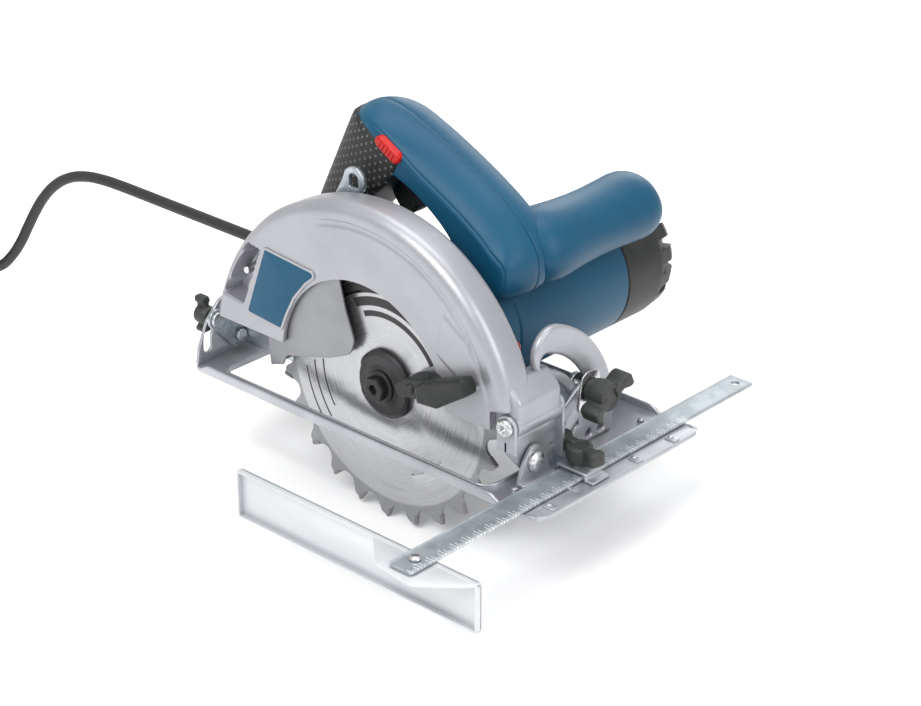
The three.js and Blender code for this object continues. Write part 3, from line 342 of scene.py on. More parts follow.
cord_curve = bpy.data.curves.new("mains_cord", "CURVE")
cord_curve.dimensions = "3D"
cord_curve.bevel_depth = CORD_RADIUS * MM
cord_curve.bevel_resolution = 5
cord_curve.resolution_u = 5
cord_curve.use_fill_caps = True
spline = cord_curve.splines.new("BEZIER")
spline.bezier_points.add(len(cord_points) - 1)
spline.bezier_points.foreach_set("co", (cord_points * MM).ravel())
for point in spline.bezier_points:
    point.handle_left_type = point.handle_right_type = "AUTO"
cord_curve.materials.append(rubber.material)
cord = bpy.data.objects.new("mains_cord", cord_curve)
bpy.context.scene.collection.objects.link(cord)
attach(cord, "saw")
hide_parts("cord_tube", "cord_coil")

# The strain relief: a tapered sleeve with grooves pressed round it and a collar against the housing.
gland_low, gland_high = (np.array(c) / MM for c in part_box("cord_gland"))
gland_centre = [0, *((gland_low + gland_high)[1:] / 2)]
sleeve_tip, sleeve_root = gland_low[0], gland_low[0] + 46
t = np.linspace(0, 1, 121)
groove = 0.55 * np.clip(np.sin(t * 2 * np.pi * 7 - 1) * 2.2, -1, 1) * (t > 0.08) * (t < 0.84)
sleeve = np.stack([5.6 + 3.4 * t ** 1.2 + groove, sleeve_tip + (sleeve_root - sleeve_tip) * t], -1)
collar = eased([(9.2, sleeve_root), (9.8, sleeve_root + 1.5, 0.6), (9.8, gland_high[0], 0.5),
                (0, gland_high[0])])
gland = turned("strain_relief", np.vstack([[0, sleeve_tip + 1], [4.4, sleeve_tip], sleeve, collar]), "X",
               gland_centre, rubber, "saw", replaces=("cord_gland",))

# The plug: a moulded body that narrows to the flex, with finger ribs across it and two round pins.
plastic = Paint("black_plastic", "black_plastic", (0.022, 0.024, 0.023), 0.5, Specular_IOR_Level=0.4)
speckle = plastic.noise(900, 3)
plastic.feed(Roughness=plastic.noise(60, 2) * 0.16 + 0.42,
             Base_Color=plastic.mix(plastic.noise(45, 3), (0.017, 0.019, 0.018), (0.034, 0.037, 0.035)))
plastic.bump(speckle, 0.00009)
# Its sections are superellipses: y = Y + h sign(cos a) |cos a|^0.7, and z alike, with h swelling along s.
RINGS, AROUND = 60, 72
s = np.linspace(0, 1, RINGS)[:, None]
a = np.linspace(0, 2 * np.pi, AROUND, endpoint=False)[None, :]
swell = np.interp(s, [0, 0.06, 0.35, 0.7, 0.9, 1], [0.1, 0.32, 0.52, 0.92, 1, 0.93])
ribs = 1 - 0.05 * (np.sin(s * 60) > 0.3) * (s > 0.15) * (s < 0.6)
half_y, half_z = (plug_high - plug_low)[1:] / 2
plug_points = np.stack([plug_low[0] + s * (plug_high - plug_low)[0] + 0 * a,
                        plug_y + half_y * swell * ribs * np.sign(np.cos(a)) * np.abs(np.cos(a)) ** 0.7,
                        plug_z + half_z * np.maximum(swell, 0.55) * np.sign(np.sin(a)) * np.abs(np.sin(a)) ** 0.7],
                       -1)
ends = [np.arange(AROUND)[::-1], np.arange(AROUND) + (RINGS - 1) * AROUND]
plug = build("mains_plug", plug_points.reshape(-1, 3), [*grid_faces(RINGS, AROUND, False, True), *ends],
             plastic,
             "saw", replaces=("plug_body",))


def dress(paint, *nodes):
    """Gives CAD nodes that keep their own shape a finish."""
    for node in nodes:
        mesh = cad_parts[node].data
        mesh.materials.clear()
        mesh.materials.append(paint.material)


steel = Paint("bright_steel", "bright_steel", (0.62, 0.63, 0.64), 0.28, 1.0)
swirl = steel.noise(1400, 2)
steel.feed(Roughness=swirl * 0.16 + 0.2,
           Base_Color=steel.mix(steel.noise(220), (0.5, 0.51, 0.53), (0.7, 0.7, 0.7)))
steel.bump(swirl, 0.00002)
dress(steel, "plug_pin_near", "plug_pin_far")

# ---------------------------------------------------------------- base plate
# A pressed steel sheet with its long edges and the rim of its blade window turned up. The long edges are cut
# away where the guide's ruler crosses. Satin zinc plated, like the small brackets that stand on it.
def wound(loop, ccw):
    """The loop with the material on its left."""
    area = np.sum(loop[:, 0] * np.roll(loop[:, 1], -1) - np.roll(loop[:, 0], -1) * loop[:, 1])
    return loop if (area > 0) == ccw else loop[::-1]


def dense(loop, step):
    """The loop with points added so that no edge is longer than step."""
    nodes = np.vstack([loop, loop[:1]])
    lengths = np.linalg.norm(np.diff(nodes, axis=0), axis=1)
    counts = np.maximum(1, np.ceil(lengths / step).astype(int))
    start = np.repeat(np.arange(len(loop)), counts)
    share = np.concatenate([np.arange(n) / n for n in counts])[:, None]
    return nodes[start] * (1 - share) + nodes[start + 1] * share


def offset(loop, distance):
    """Each corner moved into the material along the mitre n1 + n2 over |n1 + n2|^2 / 2 of its edges' normals."""
    edge = np.roll(loop, -1, 0) - loop
    edge = edge / np.maximum(np.linalg.norm(edge, axis=1, keepdims=True), 1e-9)
    normal = np.stack([-edge[:, 1], edge[:, 0]], -1)
    mitre = normal + np.roll(normal, 1, 0)
    return loop + distance * mitre / np.maximum((mitre ** 2).sum(1, keepdims=True) / 2, 0.4)


def within(points, loops):
    """True where a ray from the point crosses the loops an odd number of times."""
    x, y = points[:, :1], points[:, 1:]
    inside = np.zeros(len(points), bool)
    for loop in loops:
        a, b = loop, np.roll(loop, -1, 0)
        rise = np.where(b[:, 1] == a[:, 1], 1e-12, b[:, 1] - a[:, 1])
        hit = ((a[:, 1] > y) != (b[:, 1] > y)) & (x < a[:, 0] + (y - a[:, 1]) * (b[:, 0] - a[:, 0]) / rise)
        inside ^= hit.sum(1) % 2 == 1
    return inside


def filled(loops, spacing=None, rings=()):
    """Delaunay triangles between an outline and its holes, with a grid and inner rings of points if asked."""
    starts = np.cumsum([0, *map(len, loops)])
    edges = [[s + i, s + (i + 1) % len(loop)] for s, loop in zip(starts, loops) for i in range(len(loop))]
    points = np.vstack([*loops, *[offset(loop, d) for d in rings for loop in loops]])
    keep = np.arange(len(points)) < starts[-1]
    points = points[keep | within(points, loops)]
    if spacing:
        low, high = points.min(0) + spacing / 2, points.max(0)
        u, v = np.meshgrid(np.arange(low[0], high[0], spacing), np.arange(low[1], high[1], spacing))
        inner = np.stack([u.ravel(), v.ravel()], -1)
        inner = inner[within(inner, loops)]
        gap = np.array([((points - p) ** 2).sum(1).min() for p in inner])
        points = np.vstack([points, inner[gap > (0.6 * spacing) ** 2]])
    corners, _, triangles, *_ = delaunay_2d_cdt([Vector(p) for p in points], edges, [], 0, 1e-6)
    corners, triangles = np.array([c[:] for c in corners]), np.array([t[:3] for t in triangles])
    return corners, triangles[within(corners[triangles].mean(1), loops)]


def edge(low, high, radius, steps=3):
    """(inset, height) up a plate's side, whose two edges are rounded by quarter circles."""
    a = np.linspace(0, np.pi / 2, steps + 1)
    first = np.stack([radius * (1 - np.sin(a)), low + radius * (1 - np.cos(a))], -1)
    return np.vstack([first, (first * (1, -1) + (0, low + high))[::-1]])


def slab_grid(loops, levels, axis, spacing=None, rings=(), warp=None, hole=1.0):
    """A plate: its outline, and its holes with a share of the inset, carried up the levels (inset, height)."""
    loops = [wound(np.asarray(loop, float), k == 0) for k, loop in enumerate(loops)]
    shells, share = [], [1.0] + [hole] * (len(loops) - 1)
    for loop, part in zip(loops, share):
        wall = [np.column_stack([offset(loop, d * part), np.full(len(loop), h)]) for d, h in levels]
        shells.append((np.vstack(wall), grid_faces(len(levels), len(loop), False, True)))
    for d, h in (levels[0], levels[-1]):
        flat, triangles = filled([offset(loop, d * part) for loop, part in zip(loops, share)], spacing, rings)
        shells.append((np.column_stack([flat, np.full(len(flat), h)]), triangles))
    points, faces = joined(*shells)
    return (warp(points) if warp else points) @ AXES[axis], faces


def joined(*shells):
    """Several shells as one list of points and faces."""
    starts = np.cumsum([0, *[len(points) for points, _ in shells]])
    faces = [[k + start for k in face] for start, (_, some) in zip(starts, shells) for face in some]
    return np.vstack([points for points, _ in shells]), faces


def slab(name, loops, levels, axis, paint, body, spacing=None, rings=(), warp=None, hole=1.0, **extra):
    """A piece that is one plate."""
    return build(name, *slab_grid(loops, levels, axis, spacing, rings, warp, hole), paint, body, **extra)


def smooth(x, low, high):
    """0 below low and 1 above high, with a smooth rise between."""
    t = np.clip((x - low) / (high - low), 0, 1)
    return t * t * (3 - 2 * t)


def circle(u, v, radius, count=40):
    """(u + r cos t, v + r sin t) once round."""
    t = np.linspace(0, 2 * np.pi, count, endpoint=False)
    return np.stack([u + radius * np.cos(t), v + radius * np.sin(t)], -1)


def arc(u, v, radius, start, end, count=24):
    """(u + r cos t, v + r sin t) from start to end degrees."""
    t = np.radians(np.linspace(start, end, count))
    return np.stack([u + radius * np.cos(t), v + radius * np.sin(t)], -1)


def band(u, v, inner, outer, start, end, count=30, round_ends=True):
    """The outline of an arc-shaped slot or strip."""
    middle, half = (inner + outer) / 2, (outer - inner) / 2
    first, last = arc(u, v, middle, start, end, 2)
    caps = (arc(*last, half, end, end + 180, 9)[1:-1], arc(*first, half, start + 180, start + 360, 9)[1:-1])
    there, home = arc(u, v, outer, start, end, count), arc(u, v, inner, end, start, count)
    return np.vstack([there, caps[0], home, caps[1]] if round_ends else [there, home])


def rectangle(u0, u1, v0, v1, radius=0.0):
    """A rectangle with rounded corners."""
    return closed([(u0, v0, radius), (u1, v0, radius), (u1, v1, radius), (u0, v1, radius)])


def worn(paint, light, dark, patch=30.0, grain=1300.0, relief=0.00004, rough=(0.3, 0.46)):
    """A metal finish: cloudy colour, a grain that varies the gloss, and fine relief."""
    cloud = paint.noise(patch, 4)
    fine = paint.noise(grain, 2)
    paint.feed(Base_Color=paint.mix(cloud.step(0.3, 0.7), dark, light),
               Roughness=fine * (rough[1] - rough[0]) + rough[0] + (cloud - 0.5) * 0.08)
    return paint.bump(fine, relief)


plate_zinc = worn(Paint("satin_zinc", "pressed_steel", (0.42, 0.43, 0.455), 0.4, 0.75),
                  (0.46, 0.47, 0.495), (0.37, 0.38, 0.41))
HALF_LENGTH, HALF_WIDTH, SHEET = 152, 78, 2.5
WINDOW = (-129, 104, -70, -8)
BAR_X, BAR_HALF = 131.0, 9.0
RAIL_TOP, RAIL_WIDTH, RIM_TOP = 6.6, 2.4, 4.6


def round_window(margin, radius):
    """The window's outline moved out by a margin."""
    x0, x1, y0, y1 = WINDOW
    return rectangle(x0 - margin, x1 + margin, y0 - margin, y1 + margin, radius)


slots = [rectangle(136, 145.5, -21.4, -18.6, 1.2), rectangle(137, 146, -36.4, -33.6, 1.2)]
plate_loops = [dense(rectangle(-HALF_LENGTH, HALF_LENGTH, -HALF_WIDTH, HALF_WIDTH, 9), 3),
               dense(round_window(0, 9), 3), *slots]
sheet = slab_grid(plate_loops, edge(0.02, SHEET, 0.6), "Z")
window_rim = slab_grid([round_window(2.1, 11), round_window(0.05, 9.1)], edge(1.0, RIM_TOP, 0.9), "Z")


def rail(u0, u1, side):
    """A stretch of turned-up long edge, with rounded ends that slope down to the sheet."""
    low, high = sorted((side * HALF_WIDTH, side * (HALF_WIDTH - RAIL_WIDTH)))
    p, f = slab_grid([dense(rectangle(u0, u1, low, high, 1.1), 3)], edge(1.0, RAIL_TOP, 1.0), "Z", 3)
    fall = smooth(p[:, 0], u0, u0 + 9) * (1 - smooth(p[:, 0], u1 - 9, u1))
    p[:, 2] = np.where(p[:, 2] > SHEET, SHEET - 0.1 + (p[:, 2] - SHEET + 0.1) * fall, p[:, 2])
    return p, f


stretches = ((-145, BAR_X - BAR_HALF - 1), (BAR_X + BAR_HALF + 0.6, 149))
rails = [rail(u0, u1, side) for side in (-1, 1) for u0, u1 in stretches]
build("base_plate_sheet", *joined(sheet, window_rim, *rails), plate_zinc, "base", replaces=("base_plate",))

# Three lugs bent up from the plate beside the ruler, each with a bright pip where the punch left it.
lugs = [slab_grid([rectangle(x - 4.5, x + 4.5, y - 3.2, y + 3.2, 2)], edge(2.3, 3.5, 0.5), "Z")
        for x, y in ((146, -61), (146, 19), (146, 55))]
pips = [turned_grid(eased([(0, 2.4), (2.1, 2.4), (2.0, 4.4, 1.0), (0, 4.9)]), "Z", (x, y, 0), 28)
        for x, y in ((145, -61), (145, 19), (145, 55), (117, -60), (117, 60))]
build("plate_lugs", *joined(*lugs, *pips), plate_zinc, "base")

# ---------------------------------------------------------------- bevel quadrant, ears and uprights on the plate
# The quadrant is a thick die-cast hook with a curved slot for the bevel bolt. The ear, the rear upright and
# the clamp bridge are pressed and riveted on.
BEVEL_Y, BEVEL_Z, SLOT_R, BOLT_ANGLE = -41.0, 15.0, 60.0, 27.0
cast = Paint("satin_casting", "cast_alloy", (0.34, 0.345, 0.37), 0.4, 0.55, Coat_Weight=0.1, Coat_Roughness=0.3)
worn(cast, (0.365, 0.37, 0.395), (0.32, 0.325, 0.35), 22, 1100, 0.00005, (0.32, 0.44))
END = 69.0
tip_y, tip_z = arc(BEVEL_Y, BEVEL_Z, 66, END, END, 1)[0]
hook = np.vstack([arc(BEVEL_Y, BEVEL_Z, 83, 1, END, 30), arc(tip_y, tip_z, 17, END + 8, END + 172, 16),
                  arc(BEVEL_Y, BEVEL_Z, 49, END, 16, 22), closed([(4, 20, 4), (0, 12, 4), (-3, 2.8, 1),
                                                                  (44, 2.8, 1)], 4)])
hook_slot = band(BEVEL_Y, BEVEL_Z, SLOT_R - 4.6, SLOT_R + 4.6, BOLT_ANGLE - 2, BOLT_ANGLE + 47)
pockets = [closed([(13, 6.5, 1.5), (21, 6.5, 1.5), (19, 13, 1.5)]), closed([(25, 6.5, 1.5), (33, 6.5, 1.5),
                                                                           (30, 15, 1.5)])]
hook_grid = slab_grid([hook, hook_slot, *pockets], edge(103.9, 110.1, 2.4, 4), "X")
flange = slab_grid([rectangle(86.5, 105.5, -2.5, 45.5, 3)], edge(2.8, 5.3, 0.7), "Z")
build("bevel_hook", *joined(hook_grid, flange), cast, "base", replaces=("bevel_quadrant",))

ear = closed([(-56, 2.9, 0.5), (-26, 2.9, 0.5), (-31.2, 18, 9), (-38, 25.5, 8), (-44, 25.5, 8), (-50.8, 18, 9)])
ear_grid = slab_grid([ear, circle(BEVEL_Y, BEVEL_Z, 3.8)], edge(114, 116.5, 0.5), "X")
ear_foot = slab_grid([rectangle(114.2, 121.2, -56, -26, 2)], edge(2.8, 4.9, 0.6), "Z")
build("front_ear", *joined(ear_grid, ear_foot), plate_zinc, "base", replaces=("front_bevel_ear",))
rivet = eased([(0, 109.7), (5.5, 109.7), (5.5, 110.2), (3.5, 110.2), (3.5, 116.7), (6.9, 116.7),
               (6.6, 118.6, 1.2),
               (4.2, 120.2, 3), (0, 120.6)])
turned("front_rivet", rivet, "X", (0, BEVEL_Y, BEVEL_Z), steel, "base", 48, replaces=("front_bevel_rivet",))

UP_R, UP_ANGLE = 25.5, 138.0
upright = closed([(-76, 2.9, 1), (-12, 2.9, 1), (-16, 22, 9), (-24, 36, 7), (-40, 46, 8), (-54, 44, 8),
                  (-66, 32, 9), (-74, 14, 9)])
up_slot = band(BEVEL_Y, BEVEL_Z, UP_R - 3.3, UP_R + 3.3, UP_ANGLE - 2, UP_ANGLE + 47)
up_grid = slab_grid([upright, up_slot, circle(BEVEL_Y, BEVEL_Z, 3.3)], edge(-150, -147.5, 0.6), "X")
up_foot = slab_grid([rectangle(-149.5, -136.5, -14, 30, 2.5)], edge(2.8, 4.8, 0.6), "Z")
build("rear_upright", *joined(up_grid, up_foot), plate_zinc, "base", replaces=("rear_bevel_upright",))
pivot = eased([(0, -154), (5.6, -154, 1), (6, -150.3, 0.6), (3, -150.3), (3, -143.8), (4.2, -143.8),
               (4.2, -141, 0.5),
               (0, -141)])
turned("rear_pivot", pivot, "X", (0, BEVEL_Y, BEVEL_Z), steel, "base", 40, replaces=("rear_pivot_screw",))

CLAMP_Y = -17.0
bridge_section = closed([(113.4, 2.9, 0.5), (121, 2.9, 1), (121.1, 6.6, 1), (140.9, 6.6, 1), (141, 2.9, 1),
                         (148.6, 2.9, 0.5), (148.6, 4.6, 0.8), (142.8, 4.7, 1), (142.6, 8.4, 1.6),
                         (119.4, 8.4, 1.6), (119.2, 4.7, 1), (113.4, 4.6, 0.8)])
bridge = slab_grid([bridge_section], edge(-25, -9, 0.6), "Y")
build("clamp_bridge_strap", *bridge, plate_zinc, "base", replaces=("guide_clamp_bridge",))

# ---------------------------------------------------------------- frame that tilts: bracket, arm and bolts
# The front bracket is one folded pressing with two ears for the depth pivot and a long arm to the bevel bolt.
# At the rear a strap carries the slotted depth arm, whose end shows above the guard.
DEPTH_X, DEPTH_Z = 112.0, 44.0
bolt_y, bolt_z = arc(BEVEL_Y, BEVEL_Z, SLOT_R, BOLT_ANGLE, BOLT_ANGLE, 1)[0]
bracket = np.vstack([[(-62.8, 34), (-62.8, 27)], arc(BEVEL_Y, BEVEL_Z, 9, 220, 312, 12), [(-17.2, 10)],
                     arc(bolt_y, bolt_z, 9, -62, 122, 16), [(-17.2, 34)]])
bracket_grid = slab_grid([bracket, circle(BEVEL_Y, BEVEL_Z, 3.8), circle(bolt_y, bolt_z, 4),
                          closed([(-24, 17, 2), (-12, 18, 2), (-8, 28, 2), (-24, 28, 2)])],
                         edge(110.5, 113, 0.6), "X")


def eye(low, y0, y1):
    """An ear of the bracket: straight sides up to a round top about the depth pivot."""
    shape = np.vstack([[(104.5, low), (119.5, low)], arc(DEPTH_X, DEPTH_Z, 7.5, 0, 180, 20)])
    return slab_grid([shape, circle(DEPTH_X, DEPTH_Z, 4.1)], edge(y0, y1, 0.6), "Y")


build("front_bracket", *joined(bracket_grid, eye(27, -62.8, -60.3), eye(10, -19.7, -17.2)), plate_zinc,
      "tilt_frame", replaces=("front_tilt_bracket",))
pin = eased([(1.9, -65.9), (2.6, -66.4, 0.3), (4.4, -66.2, 0.8), (6, -65.2, 1), (6, -63.1, 0.3), (3.8, -63.1),
             (3.8, -16.9), (6, -16.9, 0.3), (6, -15, 1), (0, -14.6)])
dark_steel = worn(Paint("black_steel", "black_steel", (0.03, 0.031, 0.032), 0.42, 0.55, Specular_IOR_Level=0.5),
                  (0.042, 0.043, 0.045), (0.02, 0.021, 0.022), 60, 900, 0.00005, (0.34, 0.52))
turned("depth_pin", np.vstack([[0, -64], [1.9, -64], pin]), "Y", (DEPTH_X, 0, DEPTH_Z), steel, "tilt_frame", 48,
       replaces=("depth_pivot_pin",))

galvanised = worn(Paint("galvanised", "galvanised", (0.36, 0.40, 0.43), 0.32, 0.85),
                  (0.50, 0.54, 0.57), (0.30, 0.34, 0.37), 90, 1500, 0.00003, (0.24, 0.38))
ARM_R, LUG_ANGLE = 185, 144.3
top_x, top_z = arc(DEPTH_X, DEPTH_Z, ARM_R, LUG_ANGLE, LUG_ANGLE, 1)[0]
arm = np.vstack([arc(DEPTH_X, DEPTH_Z, ARM_R + 7, 191, 148, 34), arc(top_x, top_z, 9, 170, -35, 16),
                 arc(DEPTH_X, DEPTH_Z, ARM_R - 7, 147, 191, 34)])
grab = closed([(top_x - 4, top_z - 4.6, 1.5), (top_x + 4, top_z - 4.6, 1.5), (top_x + 4, top_z + 4.4, 3.6),
               (top_x - 4, top_z + 4.4, 3.6)])
arm_slot = band(DEPTH_X, DEPTH_Z, ARM_R - 3.2, ARM_R + 3.2, 149.6, 187.2, 34)
arm_grid = slab_grid([arm, arm_slot, grab], edge(-36.5, -33.5, 0.6), "Y")
bar_grid = slab_grid([closed([(-146.4, 7.5, 1), (-62, 7.5, 3), (-66, 20, 3), (-146.4, 20, 1)])],
                     edge(-36.4, -33.6, 0.6), "Y")
rear_y, rear_z = arc(BEVEL_Y, BEVEL_Z, UP_R, UP_ANGLE, UP_ANGLE, 1)[0]
strap = np.vstack([arc(BEVEL_Y, BEVEL_Z, 9, -150, 48, 16), arc(rear_y, rear_z, 7, 48, 228, 12)])
strap_grid = slab_grid([strap, circle(BEVEL_Y, BEVEL_Z, 3.3), circle(rear_y, rear_z, 3.1)],
                       edge(-146.7, -144.2, 0.6), "X")
build("depth_sector", *joined(arm_grid, bar_grid, strap_grid), galvanised, "tilt_frame",
      replaces=("depth_arm",))
turned("bevel_screw", eased([(0, 100), (7.4, 100, 1), (7.6, 103.7, 0.5), (3.6, 103.9), (3.6, 124, 0.5),
                             (0, 124)]),
       "X", (0, bolt_y, bolt_z), steel, "tilt_frame", 40, replaces=("bevel_bolt",))
turned("rear_screw", eased([(0, -158), (2.8, -158, 0.4), (2.8, -144), (5.5, -144, 0.3), (5.3, -142, 0.6),
                            (0, -142)]),
       "X", (0, rear_y, rear_z), steel, "tilt_frame", 32, replaces=("rear_clamp_bolt",))

# ---------------------------------------------------------------- wing knobs
# Moulded black knobs with a round hub and two stubby wings, waisted where a finger pushes. The front one
# presses on a bright washer plate; the rear one clamps the upright.
def wing_grid(hub, height, wing, thick, dish=0.7):
    """A knob about the local w axis from w = 0: a turned hub and two wings that swell to their ends."""
    body = turned_grid(eased([(0, 0), (hub * 0.82, 0, 0.6), (hub, height * 0.34, 1.2), (hub, height - dish, 1),
                              (hub * 0.66, height, 0.8), (hub * 0.6, height - dish, 0.4), (0, height - dish)]),
                       "Z", (0, 0, 0), 56)
    shells = [body]
    half = thick / 2
    lobe = closed([(hub * 0.4, -half * 0.8), (hub + 1.5, -half * 0.72, 2), (wing - 4, -half * 1.25, 3),
                   (wing, -half * 1.1, 2.4), (wing, half * 1.1, 2.4), (wing - 4, half * 1.25, 3),
                   (hub + 1.5, half * 0.72, 2), (hub * 0.4, half * 0.8)])
    for side in (1, -1):
        p, f = slab_grid([lobe], edge(height * 0.26, height * 1.08, min(2.0, half * 0.6), 4), "Z")
        p[:, 2] += 0.10 * height * smooth(p[:, 0], hub, wing)
        shells.append((p * (side, side, 1), f))
    return joined(*shells)


def spun(points, degrees):
    """Points turned about the local w axis."""
    c, s = math.cos(math.radians(degrees)), math.sin(math.radians(degrees))
    return points @ np.array([[c, s, 0], [-s, c, 0], [0, 0, 1]])


knob_points, knob_faces = wing_grid(9.2, 17, 19, 8)
build("front_wing_knob", spun(knob_points, 27) @ AXES["X"] + (114.6, bolt_y, bolt_z), knob_faces, plastic,
      "bevel_knob", replaces=("bevel_wing_knob",))
washer = slab_grid([closed([(bolt_y - 11, bolt_z - 13, 3), (bolt_y + 9, bolt_z - 13, 3),
                            (bolt_y + 9, bolt_z + 12, 6),
                            (bolt_y - 8, bolt_z + 13, 6)]), circle(bolt_y, bolt_z, 3.9)],
                   edge(113.15, 114.4, 0.4), "X")
build("bevel_washer_plate", *washer, steel, "tilt_frame")
knob_points, knob_faces = wing_grid(6.6, 11, 13, 6)
build("rear_wing_knob", (spun(knob_points, 90) * (1, 1, -1)) @ AXES["X"] + (-150.4, rear_y, rear_z), knob_faces,
      plastic, "rear_knob", replaces=("rear_bevel_knob",))
knob_points, knob_faces = wing_grid(8.4, 12, 19.5, 9)
screw = turned_grid([(0, BAR_HALF * 0.65), (3, 5.9), (3, 12), (0, 12)], "Z", (0, 0, 0), 28)
collar = turned_grid(eased([(0, 8.6), (5.4, 8.6, 0.4), (5.4, 9.6, 0.4), (0, 9.6)]), "Z", (0, 0, 0), 40)
build("guide_screw", joined(screw, collar)[0] + (BAR_X, CLAMP_Y, 0), joined(screw, collar)[1], steel,
      "guide_knob")
build("guide_knob_wings", spun(knob_points, -13) + (BAR_X, CLAMP_Y, 9.8), knob_faces, plastic, "guide_knob",
      replaces=("guide_wing_knob",))

# ---------------------------------------------------------------- parallel guide
# A galvanised flat bar with an embossed scale slides under the clamp. Its fence is a pressed tray with narrow
# lips, riveted on by a tab, with one face left bright.
ruler = Paint("galvanised_scale", "galvanised", (0.30, 0.33, 0.35), 0.38, 0.6)
cloud = ruler.noise(70, 5, 0.65)
fine = ruler.noise(1500, 2)
x, y, _ = ruler.parts(ruler.place())
millimetres = y * 1000 + 2000


def ticks(every, reach, width=0.42):
    """1 on lines that cross the bar's forward edge every so many millimetres, reach millimetres long."""
    along = ((millimetres / every).maths("FRACT") - 0.5).size() * every
    line = 1 - along.step(width * 0.5, width)
    return line * ((x * 1000 - (BAR_X + BAR_HALF)).size() - reach).step(-0.3, 0.3).maths("SUBTRACT", 1).size()


near_half = 1 - (y * 1000).step(79, 80)
scale = (ticks(10, 6.5).most(ticks(5, 4.6)).most(ticks(1, 2.6, 0.3) * 0.6)) * near_half
ruler.feed(Base_Color=ruler.mix(scale,
                                ruler.mix(cloud.step(0.34, 0.68), (0.25, 0.285, 0.31), (0.35, 0.385, 0.41)),
                                (0.80, 0.82, 0.84)), Roughness=fine * 0.14 + 0.34)
ruler.bump(scale + fine * 0.12, 0.00016)
bar = dense(rectangle(BAR_X - BAR_HALF, BAR_X + BAR_HALF, -174, 148, 2.2), 4)
rivet_hole = circle(BAR_X, -161, 2.3, 24)


def ribbed(p):
    """Turns the bar's long edges up by half a millimetre, as rolling leaves them."""
    p[:, 2] += 0.45 * smooth(np.abs(p[:, 0] - BAR_X), BAR_HALF - 1.8, BAR_HALF - 0.4)
    return p


slab("guide_ruler", [bar, rivet_hole, circle(BAR_X, 140, 2.5, 28)], edge(2.85, 4.9, 0.4), "Z", ruler, "guide",
     4,
     (0.8, 1.8), ribbed, replaces=("guide_bar",))

RIVET_TOP = 5.5
head = eased([(0, -0.5), (3.6, -0.5, 0.4), (3.6, 0.5), (2, 0.6), (2, RIVET_TOP), (3.8, RIVET_TOP, 0.2),
              (3.0, RIVET_TOP + 1.6, 1.4), (0, RIVET_TOP + 2)])
turned("guide_rivet_head", head, "Z", (BAR_X, -161, 0), steel, "guide", 40, replaces=("guide_rivet",))

low, high = (np.array(c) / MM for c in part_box("guide_fence"))
REAR, FRONT, TOP, BOTTOM = low[0], high[0], high[2], low[2]
fence_face = slab_grid([rectangle(REAR, FRONT, BOTTOM, TOP, 1.5)], edge(-152.6, -151, 0.4), "Y")
lips = [slab_grid([rectangle(REAR, FRONT, -156, -151.2, 1.2)], edge(z0, z0 + 1.5, 0.5), "Z")
        for z0 in (TOP - 1.5, BOTTOM)]
sides = [slab_grid([rectangle(-156, -151.2, BOTTOM + 0.2, TOP - 0.2, 1.2)], edge(x0, x0 + 1.5, 0.5), "X")
         for x0 in (REAR, FRONT - 1.5)]
tab = closed([(REAR + 112, -152, 1), (114, -176, 10), (145, -180, 9), (161, -167, 12), (FRONT, -155.5, 2),
              (FRONT, -152, 1)])
tab_grid = slab_grid([dense(tab, 5), rivet_hole], edge(TOP - 1.6, TOP - 0.05, 0.4), "Z")
bright = Paint("bright_galvanised", "galvanised", (0.56, 0.58, 0.595), 0.36, 0.35)
streak = bright.noise(14, 5, 0.6, bright.place((0.35, 1, 1.6)))
shine = streak.step(0.36, 0.66)
bright.feed(Base_Color=bright.mix(shine, (0.52, 0.54, 0.56), (0.60, 0.62, 0.635)),
            Roughness=bright.noise(60, 3) * 0.1 + 0.3)
build("fence_tray", *joined(fence_face, *lips, *sides, tab_grid), bright, "guide", replaces=("guide_fence",))

# ---------------------------------------------------------------- cast blade guard
# One light-alloy die casting, satin all over. Its near face steps down in a double crease inside the rounded
# rim and has a triangular recess at the tail, and the depth pivot's barrel is cast on at the front.
SPIN_X, SPIN_Z = 7.0, 35.0
NEAR, FAR, CAVITY, SOLE = -66.0, -38.0, 103.0, 40.0
RIM = np.array([(2.6, 106), (8, 109), (20, 110), (32, 110), (44, 110.5), (56, 111.5), (68, 113), (80, 114.5),
                (92, 116.5), (104, 119), (116, 122), (127, 126), (136, 130), (146.3, 133.5), (157.5, 138.5),
                (167.4, 142.4), (176.9, 147.2), (180, 148)])
ARCH_X, ARCH_Z, ARCH_R = -5.0, 31.0, 71.0


def rim_radius(t):
    """The rim's distance from the spindle at t degrees: linear between stations, then averaged over 8 degrees."""
    return np.mean([np.interp(t + d, RIM[:, 0], RIM[:, 1]) for d in np.linspace(-4, 4, 9)], 0)


def arch_radius(t):
    """The distance from the spindle to the arch's circle, from |p + r (cos t, sin t)| = R."""
    du, dv = SPIN_X - ARCH_X, SPIN_Z - ARCH_Z
    c = du * np.cos(np.radians(t)) + dv * np.sin(np.radians(t))
    return -c + np.sqrt(c * c - du * du - dv * dv + ARCH_R ** 2)


def inside_convex(u, v, corners):
    """How far inside a convex outline a point lies: the least distance to its sides, below 0 outside."""
    a = np.asarray(corners, float)
    b = np.roll(a, -1, 0)
    n = np.column_stack([-(b - a)[:, 1], (b - a)[:, 0]])
    n /= np.linalg.norm(n, axis=1, keepdims=True)
    return np.min([(u - p[0]) * k[0] + (v - p[1]) * k[1] for p, k in zip(a, n)], 0)


RECESS = [(-131, 58), (-111.5, 55.5), (-93.5, 99), (-106, 101)]
PANEL = [(58, 76), (84, 60), (96, 66), (84, 91), (64, 104)]


